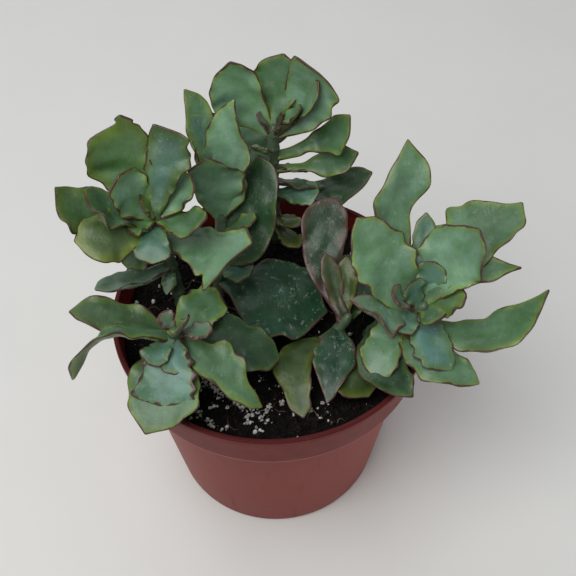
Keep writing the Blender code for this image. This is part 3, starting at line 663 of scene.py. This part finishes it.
def leftStem():
    # the stem over the pot's left side, with the broad toothed leaf at the back
    return Stem(2.6, ((-34, 6, 73), (-38, 9, 112), (-40, 9, 132)), (
        Leaf("bright", 131, (-49, 24, 164), (7, 14, 17, 15, 9), (6, 8, 7, 6, 4), (5, 25, 0, 30, 0),
            (10, 35, 10, 35, 20), roll=20, bow=-0.08,
            nicks=(("left", 0.93, 6, 0.035), ("right", 0.5, 3, 0.12), ("right", 0.9, 1.5, 0.02))),
        Leaf("mixed", 131, (-38, 24, 160), (3.5, 4.5, 3.5, 2.5, 1.5), (5, 9, 12, 12.5, 9), cup(30),
            (10, 30, 10, 30, 10), bow=-0.05),
        Leaf("bright", 128, (-73, 12, 143), (5, 9, 13, 15, 8), (5, 7, 7, 6, 3), (0, 25, 0, 25, 0),
            (20, 45, 15, 40, 10), bow=-0.12),
        Leaf("green", 129, (-62, 8, 145), (6, 9, 11, 10, 6), (5, 6, 6.5, 6, 4), (40, 70, 40, 60, 20),
            (10, 40, 10, 30, 10), bow=-0.12),
        Leaf("pale", 130, (-50, 11, 149), (5, 8, 9, 8, 6), (4, 6, 7, 7, 5), cup(40), cup(40),
            roll=30, bow=-0.1),
        Leaf("bright", 130, (-44, 8, 140), blunt(5), blunt(5), cup(40), cup(40)),
        Leaf("green", 130, (-49, 2, 132), blunt(6), blunt(6), cup(60), cup(60)),
        Leaf("under", 123, (-66, -4, 133), (4, 7, 10, 9, 5), (5, 8, 9, 8, 5), (0, 10, -20, 10, 0),
            (0, -25, -10, -30, 0), roll=30, bow=0.12),
        Leaf("teal", 127, (-40, -8, 125), blunt(6.5), blunt(6.5), cup(10), cup(10), bow=0.15),
        Leaf("green", 116, (-54, 4, 113), oval(7), oval(7), cup(10), cup(10)),
        Leaf("green", 130, (-21, 2, 137), (4, 6, 7, 6, 3), (4, 7, 8.5, 8, 4), (30, 70, 40, 60, 20),
            (40, 60, 20, 40, 10), bow=-0.12),
        Leaf("pale", 130, (-27, 19, 142), (4, 6, 7, 6, 3.5), (4, 7, 8, 7, 4), cup(60), cup(60), bow=-0.08),
        Leaf("pale", 121, (-6, 0, 126), (5, 5.5, 5, 5.5, 6), (8, 12, 17.5, 22, 9), (0, 10, 20, 60, 120),
            (0, 15, 0, 10, 60)),
        Leaf("strip", 106, (-63, -6, 110), (4, 6, 6, 4, 2), (3, 5, 5.5, 4.5, 3), (60, 95, 95, 60, 20),
            cup(20), bow=-0.05),
        Leaf("teal", 104, (-39, 0, 99), lance(3), lance(3), cup(0), cup(10)),
        Leaf("green", 122, (-45, 36, 140), oval(8), oval(8), cup(20), cup(30)),
        Leaf("green", 110, (-60, 24, 118), oval(7), oval(7), cup(20), cup(10)),
    ))


def frontStem():
    # the low stem at the left front, whose leaves hang over the rim
    return Stem(2.6, ((-22, -19, 73), (-31, -25, 102), (-32, -31, 117)), (
        Leaf("deep", 108, (-67, -25, 121), (4, 6, 6.5, 5, 3), (4, 6, 7, 7, 4), (0, 20, 0, 20, 0),
            (20, 40, 10, 40, 20), bow=0.08),
        Leaf("green", 108, (-15, -16, 110), (6, 10, 12, 12, 8), (4, 5.5, 5, 4, 2.5), cup(20), cup(10),
            sweep=-0.12),
        Leaf("green", 112, (-64, -47, 113), (4, 6, 6, 5, 4), (4, 6, 6.5, 6, 4.5), (10, 30, 0, 20, 30),
            (0, 20, 10, 30, 40), bow=0.3, sweep=0.08, twist=-70, late=1.5),
        Leaf("green", 106, (-41, -60, 100), (8, 13, 15.5, 13, 6), (7, 10, 10.5, 7.5, 3.5), (0, 20, 0, 20, 10),
            (10, 20, 0, 20, 0), bow=0.12),
        Leaf("hood", 113, (-35, -53, 105), (5, 8, 9.5, 10, 9), (4.5, 7, 9, 10, 9), (0, 20, 0, 40, -20),
            (0, 10, 30, 40, -10), bow=0.12),
        Leaf("teal", 114, (-40, -42, 114), blunt(5), blunt(5), cup(40), cup(40)),
        Leaf("teal", 114, (-31, -45, 112), blunt(4.5), blunt(4.5), cup(30), cup(40)),
        Leaf("pink", 115, (-36, -26, 121), blunt(3.5), blunt(3.5), cup(60), cup(60)),
        Leaf("green", 115, (-28, -33, 123), blunt(5), blunt(5), cup(60), cup(60)),
        Leaf("pink", 114, (-19, -31, 118), blunt(3.5), blunt(4.5), cup(60), cup(60)),
        Leaf("green", 111, (-3, -51, 101), (5, 10, 10, 4.5, 2.5), (4, 5, 4, 3.5, 2.5), (10, 50, 50, 10, 30),
            (10, 10, 30, 0, 20), bow=0.12, sweep=0.08, late=1.3),
        Leaf("dark", 103, (3, -30, 99), (7, 12, 12, 8, 5), (6, 9, 10, 9, 6), (0, 20, 0, 25, 0),
            (10, 20, 0, 20, 10), bow=0.1),
    ))


def rightStem():
    # the stem that leans over the pot's right side, with the longest leaves
    return Stem(2.8, ((34, -5, 73), (43, -12, 97), (54, -17, 111)), (
        Leaf("pale", 107, (49, 27, 149), (6, 10, 9, 4, 1.5), (4, 4.5, 6, 11, 7), (10, 30, 20, 10, 0),
            (10, 20, 0, 30, 20), roll=-10, sweep=-0.09),
        Leaf("pale", 107, (30, 2, 136), (8, 10, 11, 8, 4), (7, 10, 10.5, 8, 5), (0, 30, 0, 30, 10),
            (10, 40, 10, 40, 20), roll=25),
        Leaf("green", 108, (87, 6, 138), (4, 10, 16, 13, 3), (5, 7, 8, 8.5, 6), (0, 15, 0, 20, 0),
            (10, 40, 10, 35, 10), bow=0.06),
        Leaf("teal", 109, (55, 8, 132), (2, 3, 4, 4, 2.5), (2, 3, 4, 4, 2.5), cup(20), cup(20)),
        Leaf("green", 109, (63, 5, 128), oval(5), oval(5), cup(40), cup(20)),
        Leaf("light", 108, (69, -10, 142), (8, 14, 14.5, 10, 4.5), (4, 7.5, 10.5, 9.5, 5), (0, 20, 0, 20, 0),
            (30, 50, 20, 50, 20), roll=-20, bow=-0.1),
        Leaf("green", 105, (85, -14, 127), (3, 6, 9, 6, 1.5), (2, 3, 3.5, 5, 2), (0, 20, 10, 50, 60),
            (10, 20, 0, 40, 50), bow=0.12, late=1.5),
        Leaf("green", 105, (95, -18, 120), (4, 6.5, 8, 6.5, 3), (4, 7.5, 9, 7, 2.5), (0, 20, 0, 20, 0),
            (10, 25, 0, 25, 10), bow=-0.15, sweep=0.19),
        Leaf("frosted", 105, (62, -37, 100), (4, 6, 5.5, 4, 2.5), (5, 8, 9.5, 8.5, 4.5), (10, 30, 10, 20, 0),
            (0, 20, 0, 20, 10), bow=0.12),
        Leaf("pale", 102, (72, -39, 95), (5, 6, 6, 5, 3), (7, 11, 11, 7, 3), (0, 20, 0, 30, 10),
            (0, 20, -10, 30, 10), bow=0.1, sweep=0.12),
        Leaf("pink", 106, (28, -13, 110), (11, 16, 12, 6, 2), (3, 3, 3, 3, 1.5), (10, 40, 75, 70, 30),
            cup(20), bow=0.06),
        Leaf("pale", 103, (36, -39, 97), (3, 4, 5, 5, 3), (6, 8, 9, 8, 3.5), (0, 30, 0, 20, 0),
            (10, 30, 0, 40, 30), bow=0.1),
        Leaf("dark", 88, (48, -46, 98), (5, 7, 8, 7, 4), (4, 7, 8.5, 8, 4), (0, 20, 0, 20, 0),
            (10, 20, 0, 30, 10), bow=0.1, sweep=0.15),
        Leaf("dark", 97, (28, 16, 102), oval(9), oval(9), cup(20), cup(20)),
        Leaf("teal", 109, (57, -8, 124), blunt(5.5), blunt(5.5), (10, 50, 10, 60, 10), (20, 60, 40, 20, 10),
            bow=-0.1),
        Leaf("green", 109, (59, -24, 113), blunt(7), blunt(7), (10, 40, 0, 40, 10), (20, 40, 10, 30, 10)),
        Leaf("pink", 108, (42, -16, 117), blunt(5), blunt(5), (10, 40, 10, 40, 10), (10, 30, 20, 40, 20)),
        Leaf("teal", 107, (44, -26, 108), blunt(5.5), blunt(6), (10, 30, 0, 40, 10), (10, 30, 10, 30, 10)),
        Leaf("olive", 105, (49, -30, 103), blunt(4.5), blunt(4.5), cup(70), cup(80)),
        Leaf("bright", 108, (67, -19, 119), (4, 6.5, 7, 6, 4), (3, 5, 6, 5.5, 4), (10, 40, 10, 50, 20),
            (10, 30, 0, 60, 30), roll=-20),
        Leaf("teal", 109, (48, -14, 120), blunt(5.5), blunt(5), (10, 40, 0, 40, 10), (10, 30, 10, 40, 10),
            roll=20),
        Leaf("green", 105, (64, 14, 120), oval(8), oval(8), cup(20), cup(20)),
    ))


def tallStem():
    # the stem between the left and the back ones, with a fan of upright leaves and one broad low leaf
    return Stem(2.4, ((-20, 8, 73), (-21, 13, 90), (-19, 26, 110), (-18, 34, 126)), (
        Leaf("light", 112, (-22, 28, 141), (5, 7, 8.5, 8, 6), (6, 10, 12, 9, 4), (0, 30, 0, 30, 20),
            (10, 40, 10, 50, 30), roll=60),
        Leaf("light", 112, (-12, 46, 153), (6, 9, 9, 8, 4), (8, 9, 8.5, 3.5, 1), (0, 30, 5, 25, 10),
            (0, 25, 10, 60, 30)),
        Leaf("green", 122, (-30, 51, 154), (5, 5.5, 5, 3, 1.5), (5, 7, 8, 6.5, 4), cup(20), cup(20)),
        Leaf("teal", 118, (-28, 46, 147), (4, 5, 4, 3, 2), (5, 7, 9, 10, 8), cup(20), cup(20)),
        Leaf("dark", 98, (-4, 42, 130), (7, 10, 11, 8, 5), (11, 12, 10, 8, 5), cup(10), cup(20), sweep=0.15),
        Leaf("green", 106, (-5, 21, 118), blunt(4.5), blunt(4.5), cup(40), cup(30)),
        Leaf("teal", 96, (-8, 7, 101), blunt(5.5), blunt(5.5), cup(20), cup(20)),
        Leaf("speckled", 91, (21, -4, 92), (8, 14, 16.5, 12.3, 4), (8, 18, 22, 19, 12), cup(10), cup(20),
            bow=0.08),
    ))


def lowStem():
    # the short stem in the middle that leans right, with small leaves and three that hang towards the soil
    return Stem(2.2, ((10, -14, 73), (15, -14, 83), (25, -12, 93), (28, -11, 98)), (
        Leaf("purple", 97, (25, 28, 121), (4, 8, 10, 10, 6), (3, 5, 6, 7, 5), cup(20), cup(20), sweep=-0.12),
        Leaf("brownish", 95, (20, 7, 113), oval(4), oval(4), cup(40), cup(40)),
        Leaf("olive", 96, (28, 8, 110), oval(4.5), oval(4.5), cup(40), cup(30)),
        Leaf("dark", 92, (36, 3, 93), oval(4), oval(4), cup(20), cup(20), bow=0.1),
        Leaf("olive", 87, (11, -47, 87), (3, 3, 4, 3.5, 3), (8, 10, 9.5, 5.5, 3.5), (0, 30, 0, 40, 0),
            (10, 30, 0, 30, 10), bow=0.15, sweep=0.12),
        Leaf("speckled", 92, (19, -43, 90), (4, 6, 5, 2.5, 1.5), (7, 10, 9, 5.5, 2), (10, 40, 10, 30, 10),
            (10, 30, 0, 40, 20), bow=0.12, sweep=-0.08),
        Leaf("olive", 88, (34, -40, 89), (4, 6, 8, 8, 5), (5, 8, 11, 10, 6), (0, 20, 0, 20, 0),
            (10, 20, 0, 30, 10), bow=0.08),
    ))


def leafyStems():
    # every leafy stem by the name of its object
    return {
        "stem_back": backStem(),
        "stem_left": leftStem(),
        "stem_front": frontStem(),
        "stem_right": rightStem(),
        "stem_tall": tallStem(),
        "stem_low": lowStem(),
    }


def smooth(at, values, t):
    # a smooth curve through the values, read at t
    at, values = np.asarray(at, float), np.asarray(values, float)
    slopes = np.gradient(values, at, axis=0)
    i = np.clip(np.searchsorted(at, t, side="right") - 1, 0, len(at) - 2)
    gap = at[i + 1] - at[i]
    u = (t - at[i]) / gap
    if values.ndim > 1:
        gap, u = gap[:, None], u[:, None]
    start, end = values[i], values[i + 1]
    ease = u * u * (3 - 2 * u)
    return start + (end - start) * ease + gap * u * (1 - u) * ((1 - u) * slopes[i] - u * slopes[i + 1])


def unit(v):
    return v / np.linalg.norm(v, axis=-1, keepdims=True)


def turned(side, up, angle):
    # both directions turned about the third, so that the side's right end rises
    return side * np.cos(angle) + up * np.sin(angle), up * np.cos(angle) - side * np.sin(angle)


def stemPoint(path, height):
    path = np.asarray(path, float)
    return smooth(path[:, 2], path, np.atleast_1d(float(height)))[0]


def halfWidths(leaf, t, across, seed):
    # each side's width along the leaf, a little ragged, with its nicks
    at = (0, *sideAt, 1)
    root = min(rootHalf, 0.8 * max(leaf.left))
    halves = []
    for number, widths in enumerate((leaf.left, leaf.right)):
        half = smooth(at, (root, *widths, pointHalf), t)
        tip = pointHalf + (widths[-1] - pointHalf) * np.clip((1 - t) / (1 - sideAt[-1]), 0, 1) ** pointRound
        half = np.where(t > sideAt[-1], tip, half)
        place = np.stack([9 * t, 0 * t + number], axis=1)
        half *= 1 + crinkle["ragged"] * np.sin(np.pi * t) ** 0.5 * waves(place, 1.7, seed + 7, 6)
        for side, where, deep, wide in leaf.nicks:
            if side == ("left", "right")[number]:
                half -= deep * np.exp(-(((t - where) / wide) ** 2))
        halves.append(np.maximum(half, 0.1))
    return np.where(across < 0, halves[0][:, None], halves[1][:, None])


def leafSurface(root, leaf, seed):
    # the blade's middle surface, its rows from root to tip and its columns from left to right, with its
    # normals and how far each point lies from the margin
    t = 1 - (1 - np.linspace(0, 1, leafRows)) ** rowCrowding
    across = np.sin(np.linspace(-math.pi / 2, math.pi / 2, leafColumns))
    chord = np.subtract(leaf.tip, root)
    length = np.linalg.norm(chord)
    chord = chord / length
    side = unit(np.cross(chord, (0.0, 0.0, 1.0)))
    side, up = turned(side, np.cross(side, chord), math.radians(leaf.roll))
    arch = leaf.bow * up + leaf.sweep * side
    share = t**leaf.late
    midrib = root + length * (t[:, None] * chord + (4 * share * (1 - share))[:, None] * arch)
    along = unit(chord + ((4 - 8 * share) * leaf.late * t ** (leaf.late - 1))[:, None] * arch)
    side = unit(side - (along @ side)[:, None] * along)
    side, up = turned(side, np.cross(side, along), np.radians(leaf.twist * t)[:, None])
    half = halfWidths(leaf, t, across, seed)
    at = (0, *sideAt, 1)
    curl = [np.radians(smooth(at, (0, *curls, curls[-1]), t)) for curls in (leaf.leftCurl, leaf.rightCurl)]
    curl = np.where(across < 0, curl[0][:, None], curl[1][:, None])
    share = (np.arange(curlSteps) + 0.5) / curlSteps
    bend = (curl * across**2)[..., None] * share**2
    out = half * across * np.cos(bend).mean(-1)
    lift = half * np.abs(across) * np.sin(bend).mean(-1)
    free = np.sin(np.pi * t)[:, None]
    wave = np.sin(2 * np.pi * wavesAlong * t[:, None] + leaf.height + 2 * (across > 0))
    lift += waveHeight * half / (half + 6) * across**2 * free * wave
    # finer crinkles near the margin, and shallow lumps all over
    place = np.stack(np.broadcast_arrays(crinkle["along"] * t[:, None], across * 0.8), -1)
    fine = waves(place.reshape(-1, 2), 1.0, seed + 3, 8).reshape(half.shape)
    lift += crinkle["height"] * half / (half + 8) * np.abs(across) ** 3 * free**0.5 * fine
    flat = np.stack(np.broadcast_arrays(length * t[:, None], half * across), -1)
    lumps = waves(flat.reshape(-1, 2), crinkle["lump size"], seed + 5, 8).reshape(half.shape)
    lift += crinkle["lumps"] * free * lumps
    points = midrib[:, None] + out[..., None] * side[:, None] + lift[..., None] * up[:, None]
    normals = unit(np.cross(np.gradient(points, axis=1), np.gradient(points, axis=0)))
    return points, normals, marginDistance(flat), half, t, across


def marginDistance(flat):
    # how far each place of the flattened blade lies from its outline, whose root end is left open
    outline = np.concatenate([flat[:, 0], flat[::-1, -1]])
    start, way = outline[:-1], np.diff(outline, axis=0)
    apart = flat[:, :, None] - start
    share = np.clip((apart * way).sum(-1) / np.maximum((way * way).sum(-1), 1e-6), 0, 1)
    return np.linalg.norm(apart - share[..., None] * way, axis=-1).min(-1)


def leafMesh(root, leaf, seed):
    # a closed blade with a rounded margin and a shallow groove along its midrib
    middle, normals, rim, half, t, across = leafSurface(root, leaf, seed)
    margin = smooth(thicknessAt, marginThickness, t)[:, None]
    bulge = smooth(thicknessAt, middleThickness, t)[:, None] - margin
    edge = np.clip((np.abs(across) - 1) / np.clip(blade["rim round"] / half, *blade["rim shares"]) + 1, 0, 1)
    tip = np.clip((t - 1) / blade["tip round"] + 1, 0, 1)[:, None]
    rounding = np.sqrt(np.clip(1 - edge**2, 0, 1) * (1 - tip**2))
    depth = (margin + bulge * (1 - across**2)) / 2 * rounding
    depth[0] = 0
    groove = blade["groove depth"] * np.exp(-((half * across / blade["groove width"]) ** 2))
    groove = groove * (1 - t)[:, None] ** 0.5 * rounding
    upper = middle + normals * (depth - groove)[..., None]
    lower = middle - normals * (depth + 0.5 * groove)[..., None]
    rows, columns = rim.shape
    number = np.arange(rows * columns).reshape(rows, columns)
    inner = np.zeros((rows, columns), bool)
    inner[1:-1, 1:-1] = True
    under = number.copy()
    under[inner] = rows * columns + np.arange(inner.sum())
    quads = np.stack([number[:-1, :-1], number[:-1, 1:], number[1:, 1:], number[1:, :-1]], -1).reshape(-1, 4)
    backs = np.stack([under[:-1, :-1], under[1:, :-1], under[1:, 1:], under[:-1, 1:]], -1).reshape(-1, 4)
    points = np.concatenate([upper.reshape(-1, 3), lower[inner]])
    values = {
        "rim": np.concatenate([rim.ravel(), rim[inner]]),
        "under": np.concatenate([np.zeros(rim.size), np.ones(inner.sum())]),
    }
    return points, np.concatenate([quads, backs]), values


def stemMesh(stem):
    # the bare stem, swollen in even rings like the scars of fallen leaves
    low, high = stem.path[0][2], stem.path[-1][2] + bareStem["above"]
    heights = np.arange(low, high, bareStem["step"])
    path = np.array([stemPoint(stem.path, height) for height in heights])
    rings = 0.5 + 0.5 * np.cos(2 * math.pi * (heights - low) / bareStem["ring spacing"])
    top = np.sqrt(np.clip((high - heights) / bareStem["top round"], 0.05, 1))
    radius = stem.radius * (0.93 + bareStem["swelling"] * rings**6) * top
    points, faces = tubeMesh(path, radius, bareStem["sides"])
    return points, faces, {"rim": np.full(len(points), noMargin), "under": np.zeros(len(points))}


def leafFinish(maker):
    # waxy green: edges yellower, a thin dark margin, pale specks and small dark dots
    rim, under = maker.number("rim"), maker.number("under")
    margin, pink, chalk = maker.number("margin"), maker.number("pink"), maker.number("chalk")
    cloud, broad, grain = maker.noise(7, 3), maker.noise(22, 2), maker.noise(0.8, 3)
    edge = rim.rise(1, 0) + (rim / maker.number("spread") + 0.9 * (cloud - 0.5)).rise(0.95, 0.05) * 0.85
    colour = maker.mix(edge.math("MINIMUM", edge, 1), maker.colour("middle"), maker.colour("edge"))
    colour = maker.mix(under * 0.5, colour, (0.150, 0.220, 0.105))
    # mottling, darker patches, and a cool pale tint away from the margin, partly the waxy bloom and partly a
    # painted sheen
    mottle, patch = maker.noise(2.0, 4), maker.noise(8, 4).rise(0.50, 0.62)
    shade = 0.62 + 0.28 * broad.rise(0.32, 0.68) + 0.13 * mottle.rise(0.3, 0.7)
    colour = maker.shade(colour, shade + 0.20 * maker.noise(9, 4).rise(0.38, 0.62) + 0.16 * grain)
    colour = maker.mix(patch * 0.6, colour, maker.mix(1.0, colour, (0.62, 0.76, 0.48), "MULTIPLY"))
    cool = maker.noise(10, 3).rise(0.44, 0.62) * rim.rise(0.5, 4) * chalk
    colour = maker.mix(cool * 0.35, colour, maker.mix(1.0, colour, (1.25, 1.18, 1.65), "MULTIPLY"))
    bloomAndSheen = maker.noise(13, 4).rise(0.5, 0.78) * rim.rise(0.5, 3) * chalk * 0.22
    flecks = maker.spots(2.0, 0.24) * maker.noise(6, 2).rise(0.48, 0.62) * chalk * 0.4
    smears = maker.noise(2.0, 5, stretch=(1, 0.7, 1)).rise(0.60, 0.72) * chalk * 0.26
    scratch = maker.noise(4.0, 3, stretch=(1.6, 0.35, 1)) - 0.5
    scratch = scratch.math("ABSOLUTE", scratch).rise(0.008, 0.002)
    scratch = scratch * maker.noise(11, 1).rise(0.52, 0.62) * chalk * 0.4
    pale = bloomAndSheen + flecks + smears + scratch
    pale = pale.math("MINIMUM", pale, 0.8)
    colour = maker.mix(pale, colour, chalkWhite)
    dots = maker.spots(1.5, 0.13) * maker.noise(8, 1).rise(0.5, 0.62) * rim.rise(9, 1)
    colour = maker.mix(dots * 0.7, colour, (0.03, 0.045, 0.02))
    width = margin * (0.16 + 1.15 * maker.noise(4, 3).rise(0.32, 0.70))
    line = (rim / width.math("MAXIMUM", width, 0.01)).rise(1.25, 0.55) * margin.rise(0, 0.2)
    blush = (rim / (width * 3)).rise(1, 0) * pink * 0.55
    lineColour = maker.mix(pink * 1.3 * maker.noise(2.5, 2), maroon, rosy)
    colour = maker.mix(blush, colour, rosy)
    colour = maker.mix(line * 0.95, colour, lineColour)
    roughness = 0.26 + 0.16 * cloud + 0.12 * mottle + 0.25 * pale - 0.06 * line
    relief = 0.06 * grain + 0.16 * maker.noise(2.2, 2) + 0.05 * pale
    return colour, roughness, relief


def buildStem(name, node, stem, finish, number):
    parts = [(looks["stem"], *stemMesh(stem))]
    for i, leaf in enumerate(stem.leaves):
        root = stemPoint(stem.path, leaf.height)
        parts.append((looks[leaf.look], *leafMesh(root, leaf, 100 * number + 7 * i)))
    points, faces, values = [], [], {}
    for look, place, sheet, known in parts:
        low = sum(len(p) for p in points)
        points.append(place)
        faces += [tuple(int(i) + low for i in face) for face in sheet]
        for key, value in {**known, **look._asdict()}.items():
            value = np.asarray(value, float)
            if key in look._fields:
                value = np.broadcast_to(value, (len(place), *value.shape))
            values.setdefault(key, []).append(value)
    piece = newPiece(name, np.concatenate(points), faces, finish)
    for key, value in values.items():
        addValues(piece, key, np.concatenate(value))
    dress(piece, "crassula_leaf", node)


def buildPlant():
    finish = newMaterial("crassulaLeaf", leafFinish, Specular_IOR_Level=0.5)
    for number, (node, stem) in enumerate(leafyStems().items()):
        name = node.split("_")[1] + "LeafyStem"
        buildStem(name, node, stem, finish, number)


buildPlant()


# floor, light and camera

studio = {
    "floor half width": 3,
    "floor colour": (0.76, 0.76, 0.742),
    "sky colour": (0.95, 0.98, 1.0),
    "sky strength": 0.26,
    "window": {"place": (-0.45, -0.5, 1.3), "size": 1.1, "power": 15.2, "colour": (1.0, 0.99, 0.97)},
    "back": {"place": (-0.3, 1.0, 1.2), "size": 1.2, "power": 4.0, "colour": (0.97, 0.98, 1.0)},
    "lit point": (0, 0, 0.08),
}
view = {
    "elevation": 49.66,
    "distance": 0.3144,
    "target": (0.00625, 0.0, 0.10195),
    "roll": -0.94,
    "focal length": 850.0,  # this and the width are in the photo's pixels
    "picture width": 576,
}


def floorFinish(maker):
    colour = maker.shade(studio["floor colour"], 0.97 + 0.06 * maker.noise(60, 3))
    return colour, 0.55 + 0.1 * maker.noise(20), 0.01 * maker.noise(4)


def buildStudio():
    shape = bmesh.new()
    bmesh.ops.create_grid(shape, x_segments=1, y_segments=1, size=studio["floor half width"])
    mesh = bpy.data.meshes.new("floor")
    shape.to_mesh(mesh)
    shape.free()
    mesh.materials.append(newMaterial("paleFloor", floorFinish))
    floor = bpy.data.objects.new("floor", mesh)
    scene.collection.objects.link(floor)
    world = bpy.data.worlds.new("sky")
    world.use_nodes = True
    sky = world.node_tree.nodes["Background"]
    sky.inputs["Color"].default_value = (*studio["sky colour"], 1)
    sky.inputs["Strength"].default_value = studio["sky strength"]
    scene.world = world
    for name in ("window", "back"):
        light = studio[name]
        lamp = bpy.data.lights.new(name, "AREA")
        lamp.size, lamp.energy, lamp.color = light["size"], light["power"], light["colour"]
        lampObject = bpy.data.objects.new(name, lamp)
        back = unit(np.array(light["place"]) - studio["lit point"])
        side = unit(np.cross((0.0, 0.0, 1.0), back))
        turn = np.column_stack([side, np.cross(back, side), back])
        lampObject.matrix_world = Matrix.Translation(light["place"]) @ Matrix(turn.tolist()).to_4x4()
        scene.collection.objects.link(lampObject)
    scene.view_settings.view_transform = "Standard"


def buildCamera():
    tilt, roll = math.radians(view["elevation"]), math.radians(view["roll"])
    back = np.array([0, -math.cos(tilt), math.sin(tilt)])
    right, up = np.array([1.0, 0, 0]), np.array([0, math.sin(tilt), math.cos(tilt)])
    right, up = right * math.cos(roll) + up * math.sin(roll), up * math.cos(roll) - right * math.sin(roll)
    lens = bpy.data.cameras.new("camera")
    lens.sensor_width = 36
    lens.lens = view["focal length"] / view["picture width"] * lens.sensor_width
    lens.clip_start, lens.clip_end = 0.01, 20
    camera = bpy.data.objects.new("camera", lens)
    place = np.array(view["target"]) + view["distance"] * back
    turn = Matrix(np.column_stack([right, up, back]).tolist()).to_4x4()
    camera.matrix_world = Matrix.Translation(place) @ turn
    scene.collection.objects.link(camera)
    scene.camera = camera


buildStudio()
buildCamera()
